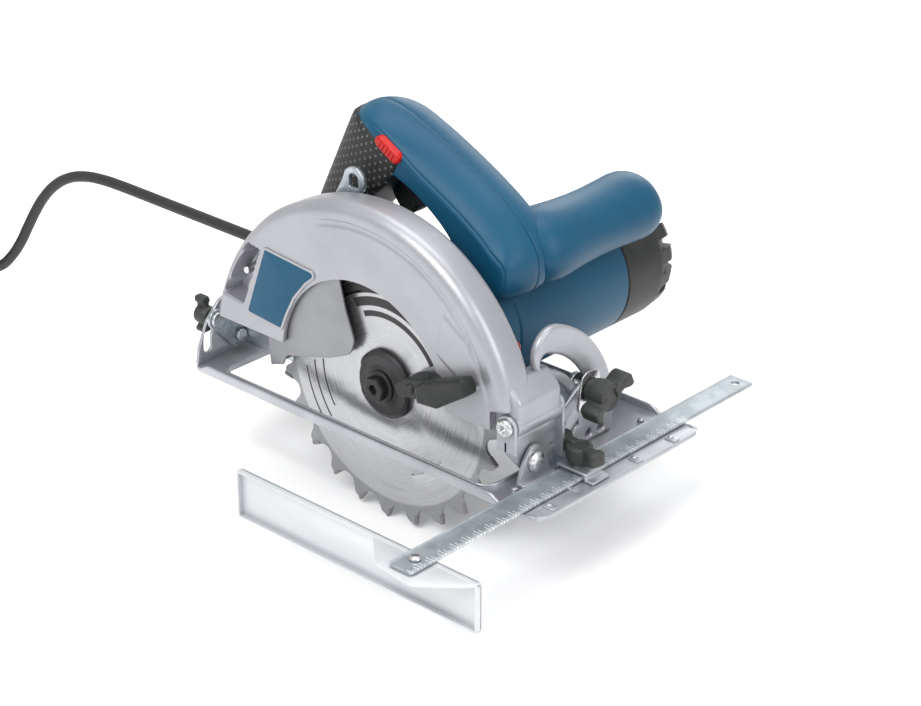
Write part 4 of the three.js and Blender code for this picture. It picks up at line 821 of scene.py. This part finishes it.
def guard_grid(columns=300):
    """The section once round the guard: r from the rim or the arch, y from the wall, swept from sole to sole."""
    q = np.linspace(0, np.pi / 2, 9)
    near_face = np.linspace(0, 1, 44)[:-1]
    section = [("face", s, NEAR) for s in near_face]
    section += [("rim", 8 * (1 - np.sin(a)), NEAR + 8 * (1 - np.cos(a))) for a in q]
    section += [("rim", 8 * (1 - np.cos(a)), FAR - 8 * (1 - np.sin(a))) for a in q[1:]]
    section += [("far", s, FAR) for s in np.linspace(0, 1, 16)[1:]]
    section += [("far", s, FAR - 3) for s in (1, 0.5)]
    section += [("cavity", 0, FAR - 3), ("cavity", 0, NEAR + 3), ("face", 0.5, NEAR + 3),
                ("face", 0.0, NEAR + 3),
                ("face", -0.006, NEAR + 2.4), ("face", -0.006, NEAR + 0.6)]
    share = np.linspace(0, 1, columns)
    rows = []
    for kind, s, y in section:
        t = 2.6 + share * 175.4
        for _ in range(3):
            out, low = rim_radius(t), arch_radius(t)
            r = {"face": low + s * (out - 8 - low), "rim": out - s, "cavity": 0 * t + CAVITY,
                 "far": (out - 8) * (1 - s) + 21 * s}[kind]
            start = np.degrees(np.arcsin((SOLE - SPIN_Z) / r))
            t = start + share * (180 - 2 * start)
        u, v = SPIN_X + r * np.cos(np.radians(t)), SPIN_Z + r * np.sin(np.radians(t))
        w = np.full(columns, float(y))
        inset = out - r
        if y < NEAR + 2.3:
            stretch = smooth(t, 3, 12) * (1 - smooth(t, 112, 122))
            crease = smooth(inset, 11, 12.4) - 0.5 * smooth(inset, 15, 16.4)
            raised = inside_convex(u, v, PANEL)
            w = w + 1.3 * crease * stretch - 0.9 * smooth(raised, 0, 1.4) + 13 * smooth(
                inside_convex(u, v, RECESS), 0, 3.0)
        if y < -59.9:
            corner = 1 - smooth(v, 52.6, 54.2)
            u = np.where(corner > 0, np.minimum(u, 102 * corner + (1 - corner) * np.maximum(u, 102)), u)
        rows.append(np.column_stack([u, w, v]))
    grid = np.stack(rows, 1)
    faces = grid_faces(columns, len(section), False, True).tolist()
    shells = [(grid.reshape(-1, 3), faces)]
    for column in (0, columns - 1):
        ring = grid[column]
        flat, triangles = filled([wound(ring[:, :2], True)])
        shells.append((np.column_stack([flat, np.full(len(flat), SOLE)]), triangles))
    return joined(*shells)


casting = guard_grid()
barrel = turned_grid(eased([(4, -60), (8.5, -60, 0.8), (8.5, -20, 0.8), (4, -20)]), "Y",
                     (DEPTH_X, 0, DEPTH_Z), 48)
barrel = (barrel[0], grid_faces(48, len(barrel[0]) // 48, True, True))
neck = slab_grid([closed([(99, 41, 2), (99, 69, 3), (109, 70, 7), (119.6, 60, 8), (120.4, 45, 5),
                          (116, 40.8, 3)])],
                 edge(-59.9, -21, 3, 5), "Y")
hub = turned_grid([(16.5, -47.7), (19.2, -47.7), (19.7, -47.2), (19.7, FAR - 1), (16.5, FAR - 1)], "Y",
                  (SPIN_X, 0, SPIN_Z), 72)
hub = (hub[0], grid_faces(72, 5, True, True))
bolt_x, bolt_h = DEPTH_X - ARM_R * math.cos(math.radians(2)), DEPTH_Z - ARM_R * math.sin(math.radians(2))
boss = slab_grid([circle(bolt_x, bolt_h, 8, 32)], edge(FAR - 3, FAR - 0.02, 0.5), "Y")
build("guard_casting", *joined(casting, barrel, neck, hub, boss), cast, "saw", replaces=("upper_guard",),
      angle=38)
post = turned_grid(eased([(0, NEAR + 13), (3, NEAR + 13), (2.6, NEAR + 4, 1), (0, NEAR + 3.6)]), "Y",
                   (-112, 0, 78), 32)
build("recess_post", *post, steel, "saw")

# The label is a plain blue film in a shallow metal frame.
label_line = closed([(-88.5, 101, 1.5), (-42.5, 97, 2), (-52.5, 88.6, 8), (-63.6, 75.4, 8), (-71.6, 60.4, 8),
                     (-76, 50, 1.5), (-106.5, 52.6, 1.5)])
frame_loops = [offset(wound(label_line, True), distance) for distance in (-1.5, 0.3)]
frame_grid = slab_grid(frame_loops, edge(NEAR - 1.0, NEAR + 0.6, 0.4), "Y")
build("label_frame", *frame_grid, cast, "saw")
film = Paint("label_film", "label_film", (0.006, 0.07, 0.132), 0.4, 0.0, Specular_IOR_Level=0.2)
film.feed(Base_Color=film.mix(film.noise(9, 2).step(0.3, 0.7), (0.005, 0.064, 0.122), (0.008, 0.077, 0.145)),
          Roughness=film.noise(500, 2) * 0.1 + 0.3)
slab("label_film_sheet", [label_line], edge(NEAR - 0.75, NEAR + 0.3, 0.2), "Y", film, "saw",
     replaces=("label_panel",))

# ---------------------------------------------------------------- lower guard and its lever
# A thin zinc-plated pressing swings about the hub and is held back inside the casting at rest. Its near sheet
# has one free edge that bends in towards the spindle, and its black lever is riveted on.
GUARD_OUT, GUARD_END = 99.5, 190
guard_zinc = worn(Paint("lower_guard_zinc", "pressed_steel", (0.25, 0.255, 0.27), 0.4, 0.7),
                  (0.27, 0.275, 0.29), (0.22, 0.225, 0.24), 26, 1200, 0.00004, (0.32, 0.46))


def at(r, t):
    """The point at radius r and t degrees about the spindle."""
    return (SPIN_X + r * math.cos(math.radians(t)), SPIN_Z + r * math.sin(math.radians(t)))


def about(r, start, end, count=40):
    """An arc about the spindle."""
    return arc(SPIN_X, SPIN_Z, r, start, end, count)


def corner_points(*corners):
    """Corners (r, t, radius) joined as an open line with rounded corners, without its two ends."""
    return eased([(*at(r, t), *rest) for r, t, *rest in corners])


free_edge = corner_points((GUARD_OUT, 189.9), (88, 189, 2), (83.5, 184, 6), (70.7, 182.3, 40),
                          (43.5, 172.6, 30),
                          (28.5, 151, 9), (32, 132, 8), (52.1, 123.5, 40), (80, 116.5, 5), (80, 106))
lever_arm = corner_points((80, 40), (80, 33, 4), (30, 33, 2), (30, 16, 2), (80, 16, 3), (80, 12))
near_sheet = np.vstack([about(GUARD_OUT, 12, 189.9, 120), free_edge, about(80, 106, 40, 40), lever_arm,
                        [at(80, 12)]])
keep = np.append(True, np.linalg.norm(np.diff(near_sheet, axis=0), axis=1) > 0.05)
near_grid = slab_grid([near_sheet[keep]], edge(-62.4, -60.8, 0.45), "Y")
rim_line = np.vstack([about(GUARD_OUT, 12, GUARD_END, 120), about(GUARD_OUT - 1.8, GUARD_END, 12, 120)])
rim_grid = slab_grid([rim_line], edge(-62.35, -44.45, 0.5), "Y")
far_line = np.vstack([about(GUARD_OUT, 12, GUARD_END, 120), about(20.7, GUARD_END, 12, 60)])
far_grid = slab_grid([far_line], edge(-46, -44.4, 0.4), "Y")
build("lower_guard_pressing", *joined(near_grid, rim_grid, far_grid), guard_zinc, "lower_guard",
      replaces=("lower_guard",))
black = Paint("black_plastic_satin", "black_plastic", (0.014, 0.0155, 0.015), 0.42, 0.0, Specular_IOR_Level=0.3)
black.feed(Base_Color=black.mix(black.noise(50, 3).step(0.35, 0.65), (0.012, 0.0135, 0.013),
                                (0.019, 0.0205, 0.02)),
           Roughness=black.noise(240, 3) * 0.16 + 0.34)
black.bump(black.noise(2600, 2), 0.00006)
lever_block = slab_grid([closed([(*at(31, 17), 3), (*at(46, 15), 3), (*at(64, 12.5), 4), (*at(67, 18), 3),
                                 (*at(60, 28), 4), (*at(43, 33), 4), (*at(31, 32), 3)])],
                        edge(-77, -63, 1.6, 4), "Y")
lever_bar = slab_grid([closed([(*at(50, 14), 2), (*at(66, 12), 3), (*at(95, 19), 3), (*at(95, 25.4), 3),
                               (*at(64, 27), 4), (*at(52, 26), 2)])], edge(-81, -70, 2.2, 4), "Y")
build("lever_moulding", *joined(lever_block, lever_bar), black, "lower_guard", replaces=("guard_lever",))
screw_x, screw_z = at(44, 24)
turned("lever_screw", eased([(0, -78.2), (2.2, -78.4, 0.5), (3.3, -77.4, 0.6), (3.4, -76.4), (0, -76.2)]), "Y",
       (screw_x, 0, screw_z), dark_steel, "lower_guard", 28)

# ---------------------------------------------------------------- saw blade
# A 190 mm blade of ground steel with 24 brazed carbide teeth, clamped on the spindle. It has three short
# expansion slots, and three broad and three thin black arcs are printed on it.
TEETH, TIP_R, BLADE_Y = 24, 95.0, -55.0
tooth = np.array([(0, 0), (1.6, -6.2), (2.4, -8.6), (3.6, -10.3), (5.0, -11), (6.4, -11), (7.8, -10.4),
                  (9, -8.9),
                  (9.8, -7), (10.4, -5), (11.1, -3), (12.0, -1.8), (13.4, -1.1)])
turns = np.arange(TEETH)[:, None] * 360 / TEETH + tooth[:, 0]
radii = np.tile(TIP_R + tooth[:, 1], (TEETH, 1))
teeth_line = np.column_stack([SPIN_X + (radii * np.cos(np.radians(turns))).ravel(),
                              SPIN_Z + (radii * np.sin(np.radians(turns))).ravel()])
blade_steel = Paint("ground_blade", "blade_steel", (0.34, 0.345, 0.36), 0.3, 0.9)
blade_at = blade_steel.place(shift=(-SPIN_X * MM, 0, -SPIN_Z * MM))
bx, _, bz = blade_steel.parts(blade_at)
radius = (bx * bx + bz * bz).maths("SQRT") * 1000
turning = bz.maths("ARCTAN2", bx)
rings = blade_steel.noise(1.0, 4, 0.6,
                          blade_steel.node("CombineXYZ", {}, {0: radius * 7, 1: turning * 1.6, 2: 0.0}))
cloud = blade_steel.noise(24, 3, 0.5, blade_at)
tooth_zone = radius.step(80.5, 82.5)


def arc_mask(r, half, middle, reach):
    """1 on a printed arc of radius r and width 2 half, within reach radians of its middle."""
    away = ((turning - middle) * 0.5).sine().size() * 2
    return (1 - (radius - r).size().step(half - 0.15, half + 0.15)) * (1 - away.step(reach, reach + 0.01))


prints = (arc_mask(63, 3.8, 1.2, 1.0).most(arc_mask(54, 3.0, 1.15, 0.9)).most(arc_mask(46, 1.9, 1.1, 0.85))
          .most(arc_mask(56, 0.7, 3.45, 0.28)).most(arc_mask(64, 0.7, 3.52, 0.3)).most(arc_mask(72, 0.7, 3.6,
                                                                                                0.3)))
ground = blade_steel.mix(rings.step(0.36, 0.64), (0.35, 0.355, 0.37), (0.50, 0.505, 0.52))
metal = blade_steel.mix(tooth_zone, ground, (0.27, 0.275, 0.29))
blade_steel.feed(Base_Color=blade_steel.mix(prints, metal, (0.012, 0.012, 0.013)),
                 Metallic=0.92 - prints * 0.92,
                 Roughness=rings * 0.16 + 0.2 + prints * 0.2 + tooth_zone * 0.1 + (cloud - 0.5) * 0.1)
blade_steel.bump(rings, 0.00002)
slots = [np.vstack([about(60.9, a, a + 30, 14), about(60, a + 30, a, 14)]) for a in (20, 110, 290)]
slab("blade_disc", [teeth_line, circle(SPIN_X, SPIN_Z, 15, 72), *slots],
     edge(BLADE_Y - 1, BLADE_Y + 1, 0.15, 2),
     "Y", blade_steel, "arbor", replaces=("saw_blade",))
carbide = Paint("carbide", "blade_steel", (0.20, 0.20, 0.21), 0.3, 0.8)
carbide.feed(Roughness=carbide.noise(900, 2) * 0.16 + 0.22,
             Base_Color=carbide.mix(carbide.noise(260, 2), (0.16, 0.16, 0.165), (0.26, 0.26, 0.27)))
tips = [slab_grid([np.array([at(TIP_R + 0.1, k), at(TIP_R - 0.4, k - 1.3), at(TIP_R - 6.4, k + 0.4),
                             at(TIP_R - 6.3, k + 1.75)])], edge(BLADE_Y - 1.35, BLADE_Y + 1.35, 0.2, 2), "Y")
        for k in np.arange(TEETH) * 360 / TEETH]
build("carbide_tips", *joined(*tips), carbide, "arbor")

# ---------------------------------------------------------------- flange, washer and blade bolt
# The blackened steel outer flange has two flats for a spanner. A thick washer and a socket-head bolt clamp it
# and the blade to the spindle.
flange_top = eased([(0, -61.4), (12.2, -61.4, 0.6), (14, -60.3, 2), (19.6, -60.0, 1.0), (22.5, -58.4, 0.8),
                    (22.5, -56.4, 0.3), (0, -56.3)])
points, faces = turned_grid(flange_top, "Y", (0, 0, 0), 144)
points[:, 0] = np.clip(points[:, 0], -19.6, 19.6)
build("flange_disc", points + (SPIN_X, 0, SPIN_Z), faces, dark_steel, "arbor", replaces=("outer_flange",))
turned("bolt_washer_ring", eased([(0, -63.6), (9.8, -63.6, 0.4), (11, -62.9, 0.6), (11, -61.6, 0.3),
                                  (0, -61.6)]), "Y",
       (SPIN_X, 0, SPIN_Z), dark_steel, "arbor", 64, replaces=("bolt_washer",))
hexagon = np.array([at(8.4, a) for a in range(12, 372, 60)])
socket = np.array([at(3.4, a) for a in range(12, 372, 60)])
head_grid = slab_grid([hexagon, socket], edge(-68.4, -63.7, 0.8), "Y")
floor_grid = slab_grid([circle(SPIN_X, SPIN_Z, 6, 24)], edge(-65.4, -63.6, 0.2), "Y")
build("bolt_head", *joined(head_grid, floor_grid), dark_steel, "arbor", replaces=("blade_bolt",))

# ---------------------------------------------------------------- motor housing and end cap
# The motor sits in a glossy-satin blue moulded barrel. A black cap with sixteen notches round its rim closes
# the end, and a shallow bead marks the seam.
MOTOR_X, MOTOR_Z, NOTCHES = 19.5, 62.0, 16
blue = Paint("blue_housing", "blue_plastic", (0.004, 0.063, 0.123), 0.4, 0.0, Specular_IOR_Level=0.24)
cloud = blue.noise(16, 3)
grain = blue.noise(2200, 2)
blue.feed(Base_Color=blue.mix(cloud.step(0.3, 0.7), (0.0034, 0.058, 0.114), (0.0048, 0.068, 0.131)),
          Roughness=grain * 0.12 + cloud * 0.06 + 0.3)
blue.bump(grain, 0.00005)
barrel_line = eased([(0, -9.6), (38, -9.6), (44, -8.6, 3), (44, 4, 1), (43.2, 5, 0.5), (43.2, 6.4, 0.5),
                     (44, 7.4, 1),
                     (44, 111.2, 0.7), (43, 111.95), (0, 111.95)])
turned("motor_barrel", barrel_line, "Y", (MOTOR_X, 0, MOTOR_Z), blue, "saw", 160, replaces=("motor_housing",))

cap_line = eased([(0, 112.3), (43, 112.3), (44, 113.2, 0.8), (44, 146, 8), (43.2, 152, 6), (42.4, 158, 4),
                  (38.5, 164.2, 4), (30, 165, 4), (24, 164.4, 2), (22, 162.6, 2), (13, 162.6, 2),
                  (11, 164.6, 2),
                  (0, 165)], 7)
points, faces = turned_grid(cap_line, "Y", (0, 0, 0), 384)
lap = np.arctan2(points[:, 2], points[:, 0]) * NOTCHES / (2 * np.pi)
off_middle = np.abs(lap - np.round(lap))
gap = (1 - smooth(off_middle, 0.16, 0.21)) * smooth(points[:, 1], 151.5, 153.5)
r = np.hypot(points[:, 0], points[:, 2])
shrink = np.where(r > 31, 1 - gap * np.minimum(0.17, (r - 31) / np.maximum(r, 1)), 1)
points[:, 0] *= shrink
points[:, 2] *= shrink
build("end_cap_moulding", points + (MOTOR_X, 0, MOTOR_Z), faces, black, "saw", replaces=("motor_end_cap",),
      angle=40)
dress(blue, "gear_case")

# ---------------------------------------------------------------- rear handle
# Two blue mouldings meet on a centre seam over the D-shaped loop. The top is crowned with a fine groove along
# each edge, the sides are flat, and the back of the post is rounded from side to side.
HANDLE_OUT = [(-128, 48), (-126, 62), (-114, 86), (-101, 112), (-89, 140), (-76, 166), (-69, 179), (-58, 190),
              (-44, 194), (-28, 191.5), (-8, 184), (14, 174), (38, 161.5), (58, 149), (71, 137), (79.5, 124),
              (80, 110), (74, 99), (60, 93), (30, 93), (-20, 70), (-24, 46)]
HANDLE_LOOP = [(-66, 84), (-74, 92), (-64, 106), (-52, 122), (-40, 141), (-26, 155), (-8, 152), (14, 140),
               (30, 126), (38, 112), (34, 106.5), (-5, 106.5), (-28, 90), (-40, 82)]
SEAM, SIDE_NEAR, SIDE_FAR = 2.0, -24.0, 22.0


def softened(loop, steps=6):
    """A smooth closed curve through the loop's points: Hermite cubics whose slopes join each point's neighbours."""
    loop = np.array(loop, float)
    p1, p2 = loop, np.roll(loop, -1, 0)
    m1, m2 = (p2 - np.roll(loop, 1, 0)) / 2, (np.roll(loop, -2, 0) - p1) / 2
    t = np.linspace(0, 1, steps, endpoint=False)[:, None, None]
    curve = ((2 * t ** 3 - 3 * t ** 2 + 1) * p1 + (t ** 3 - 2 * t ** 2 + t) * m1
             + (3 * t ** 2 - 2 * t ** 3) * p2 + (t ** 3 - t ** 2) * m2)
    return curve.transpose(1, 0, 2).reshape(-1, 2)


def even(loop, step):
    """The same closed line with its points a step apart along its length."""
    line = np.vstack([loop, loop[:1]])
    run = np.concatenate([[0], np.cumsum(np.linalg.norm(np.diff(line, axis=0), axis=1))])
    at_run = np.linspace(0, run[-1], int(round(run[-1] / step)), endpoint=False)
    return np.column_stack([np.interp(at_run, run, line[:, 0]), np.interp(at_run, run, line[:, 1])])


outer_line = even(softened(HANDLE_OUT, 24), 3)
loop_line = even(softened(HANDLE_LOOP, 24), 3)


def half_levels(side, width):
    """From the seam's fine chamfer over the crowned top to a crisp edge with a groove under it, and the side."""
    steps = [(0.6, 0.0), (0.12, 0.02), (0.0, 0.05), (0.1, 0.2), (0.6, 0.4), (1.5, 0.6), (2.8, 0.78),
             (3.9, 0.885),
             (4.6, 0.93), (5.2, 0.945), (5.9, 0.945), (6.1, 0.95), (6.4, 0.968), (7.4, 0.988), (9.0, 1.0)]
    return [(d, SEAM + side * (0.06 + h * (width - 0.06))) for d, h in steps]


POST_FOOT, POST_NORMAL, ROUNDING = (-107, 101), (0.899, -0.438), 38


def rounded_back(p):
    """Draws the sides in to half an ellipse: w keeps sqrt(1 - (1 - (d + 1.5) / 38)^2), d mm from the rear line."""
    d = (p[:, 0] - POST_FOOT[0]) * POST_NORMAL[0] + (p[:, 1] - POST_FOOT[1]) * POST_NORMAL[1]
    share = np.sqrt(1 - (1 - (np.clip(d, 0, ROUNDING - 1.5) + 1.5) / ROUNDING) ** 2)
    p[:, 2] = SEAM + (p[:, 2] - SEAM) * (1 + (share - 1) * smooth(p[:, 1], 60, 100))
    return p


def sloped(p):
    """Lets the near half of the top fall away towards its edge, by 1 mm at the back and 9 mm at the front."""
    u, v, w = p[:, 0], p[:, 1], p[:, 2]
    top = np.interp(u, [-60, -44, -28, -8, 14, 38, 58, 71], [190, 194, 191.5, 184, 174, 161.5, 149, 137])
    across = np.clip((SEAM - w) / (SEAM - SIDE_NEAR), 0, 1) ** 2
    along = smooth(u, -62, -42) * (1 - smooth(u, 62, 80)) * (1 + 8 * smooth(u, -36, 10))
    p[:, 1] = v - across * along * smooth(v - top, -26, -4)
    return rounded_back(p)


for name, side, width, old in (("handle_half_near", -1, SEAM - SIDE_NEAR, "handle_shell_near"),
                               ("handle_half_far", 1, SIDE_FAR - SEAM, "handle_shell_far")):
    slab(name, [outer_line, loop_line], half_levels(side, width), "Y", blue, "saw", 5, (2, 4.5),
         sloped if side < 0 else rounded_back, 0.4, replaces=(old,), angle=40)
# A round boss on the near side covers a screw.
turned("handle_boss", eased([(0, -27), (3.4, -27, 1.2), (4.0, -25.8, 0.6), (4.6, -23), (0, -23)]), "Y",
       (36, 0, 118),
       blue, "saw", 36)

# ---------------------------------------------------------------- soft grip
# Black rubber moulded round the back of the rear post and over its sides up to the lock-off, a little proud of
# the blue, with rows of small studs on the sides.
grip = Paint("soft_grip_rubber", "soft_grip", (0.012, 0.0125, 0.0125), 0.62, 0.0, Specular_IOR_Level=0.4)
gx, gy, gz = grip.parts(grip.place(turn=(0, 0.42, 0)))
row = (gz * 1000 / 4.4).maths("FLOOR")
across_row = gx * 1000 / 5.2 + (row * 0.5).maths("FRACT")
du = (across_row.maths("FRACT") - 0.5) * 5.2
dv = ((gz * 1000 / 4.4).maths("FRACT") - 0.5) * 4.4
dot = 1 - (du * du + dv * dv).maths("SQRT").step(0.75, 1.15)
side_face = (gy * 1000 + 1).size().step(9.0, 12.0)
dots = dot * side_face
fine = grip.noise(1900, 2)
grip.feed(Base_Color=grip.mix(dots, (0.0105, 0.011, 0.011), (0.10, 0.105, 0.105)), Roughness=fine * 0.16 + 0.5)
grip.bump(dots + fine * 0.08, 0.0005)
GRIP = [(-107, 101), (-101, 112), (-89, 140), (-76, 166), (-69, 179), (-61, 186.5), (-48, 186), (-33, 180),
        (-14, 169.5), (-12.5, 165), (-20, 153), (-37, 137), (-56, 119), (-74, 104), (-92, 100)]
grip_line = dense(softened(GRIP, 8), 2.5)
grip_levels = [(3.4, -25.6), (2.2, -25.3), (1.0, -24.6), (0.2, -23.6), (-0.2, -22), (-0.4, -19), (-0.8, -13),
               (-1.0, -7), (-1.1, 2), (-1.0, 11), (-0.8, 15), (-0.4, 18), (-0.2, 20.4), (0.2, 22), (1.0, 23),
               (2.2, 23.6), (3.4, 23.8)]
slab("rear_grip_rubber", [grip_line], grip_levels, "Y", grip, "saw", 4, warp=rounded_back,
     replaces=("rear_grip",), angle=40)

# ---------------------------------------------------------------- trigger, lock-off and spindle lock
# The trigger is satin black plastic on a pin. The lock-off is one red capsule through the handle with ribs on
# both ends, and the spindle lock is a red head on a round stem.
red = Paint("red_plastic", "red_plastic", (0.42, 0.006, 0.004), 0.36, 0.0, Specular_IOR_Level=0.3)
red.feed(Base_Color=red.mix(red.noise(60, 2), (0.38, 0.005, 0.003), (0.46, 0.007, 0.004)),
         Roughness=red.noise(700, 2) * 0.12 + 0.24)
trigger_line = softened([(-9, 154), (-9.4, 159.5), (-15, 160), (-38, 151.5), (-39, 146), (-36, 136), (-29, 127),
                         (-20, 125.4), (-16, 131), (-18.6, 139), (-16.6, 149)])
slab("trigger_moulding", [trigger_line], edge(-5, 9, 2.2, 5), "Y", black, "trigger", replaces=("trigger",))
BUTTON_X, BUTTON_Z, BUTTON_TURN = -19.0, 174.5, -0.52


def tilted(u, v):
    """A point of the button's own plane turned with it."""
    c, s = math.cos(BUTTON_TURN), math.sin(BUTTON_TURN)
    return np.stack([BUTTON_X + c * u - s * v, BUTTON_Z + s * u + c * v], -1)


capsule = closed([(-11, -4, 3.95), (11, -4, 3.95), (11, 4, 3.95), (-11, 4, 3.95)], 8)
button = [slab_grid([tilted(*capsule.T)], edge(-27.2, 25.2, 1.6, 5), "Y")]
for u in (-6, -3, 0, 3, 6):
    rib = closed([(u - 0.55, -2.9, 0.5), (u + 0.55, -2.9, 0.5), (u + 0.55, 2.9, 0.5), (u - 0.55, 2.9, 0.5)], 3)
    button += [slab_grid([tilted(*rib.T)], edge(y0, y1, 0.35, 3), "Y") for y0,
               y1 in ((-27.8, -26.8), (24.8, 25.8))]
build("lock_off_capsule", *joined(*button), red, "lock_off", replaces=("lock_off_button",))
lock_head = slab_grid([rectangle(-27, -11, 60, 72, 4)], edge(70, 79, 2, 5), "X")
lock_stem = slab_grid([circle(-16, 66, 4, 32)], edge(52, 71, 0.6, 3), "X")
build("spindle_lock_button", *joined(lock_head, lock_stem), red, "spindle_lock", replaces=("spindle_lock",))
dress(black, "depth_clamp_lever", "switch_unit")
dress(steel, "depth_clamp_bolt")

# ---------------------------------------------------------------- front handle
# The auxiliary handle is moulded in the same blue: a plump bar along the motor that swells in the middle, with
# rounded ends. It is screwed to the far handle half.
bar_line = dense(softened([(39, 114), (48, 104), (64, 99), (78, 102), (85.4, 116), (81, 130), (68, 139.5),
                           (50, 139.5), (39.5, 130)], 8), 3)
bar_levels = [(13, 5.0), (9.4, 5.4), (6.0, 6.8), (3.2, 9.4), (1.3, 13), (0.0, 18), (-0.7, 25), (-0.4, 34),
              (0.8, 48), (1.6, 64), (1.6, 80), (0.8, 96), (0.2, 106), (0.7, 113), (2.0, 117.6), (4.4, 121),
              (7.6, 123), (11, 123.9), (13, 124)]
slab("front_handle_moulding", [bar_line], bar_levels, "Y", blue, "saw", replaces=("front_handle",), angle=40)

# ---------------------------------------------------------------- what shows inside the openings
# Turned steel shafts and flanges, the copper commutator and the laminated cores keep their shapes from the
# frame and take these finishes.
laminated = Paint("laminated_steel", None, (0.16, 0.16, 0.17), 0.45, 0.8)
sheets = (laminated.parts(laminated.place())[1] * 1000 / 0.5 * 6.283).sine() * 0.5 + 0.5
laminated.feed(Base_Color=laminated.mix(sheets, (0.10, 0.10, 0.11), (0.22, 0.22, 0.23)),
               Roughness=laminated.noise(300) * 0.2 + 0.35)
copper = Paint("copper", None, (0.45, 0.17, 0.06), 0.32, 0.95)
copper.feed(Roughness=copper.noise(400) * 0.16 + 0.24)
dress(laminated, "stator", "armature_core")
dress(copper, "commutator", "spindle_bush")
dress(steel, "spindle", "drive_gear", "inner_flange", "guard_spring", "spindle_bearing",
      "armature_bearing_front",
      "armature_bearing_rear", "armature_shaft")
dress(black, "cooling_fan", "brush_front", "brush_rear")
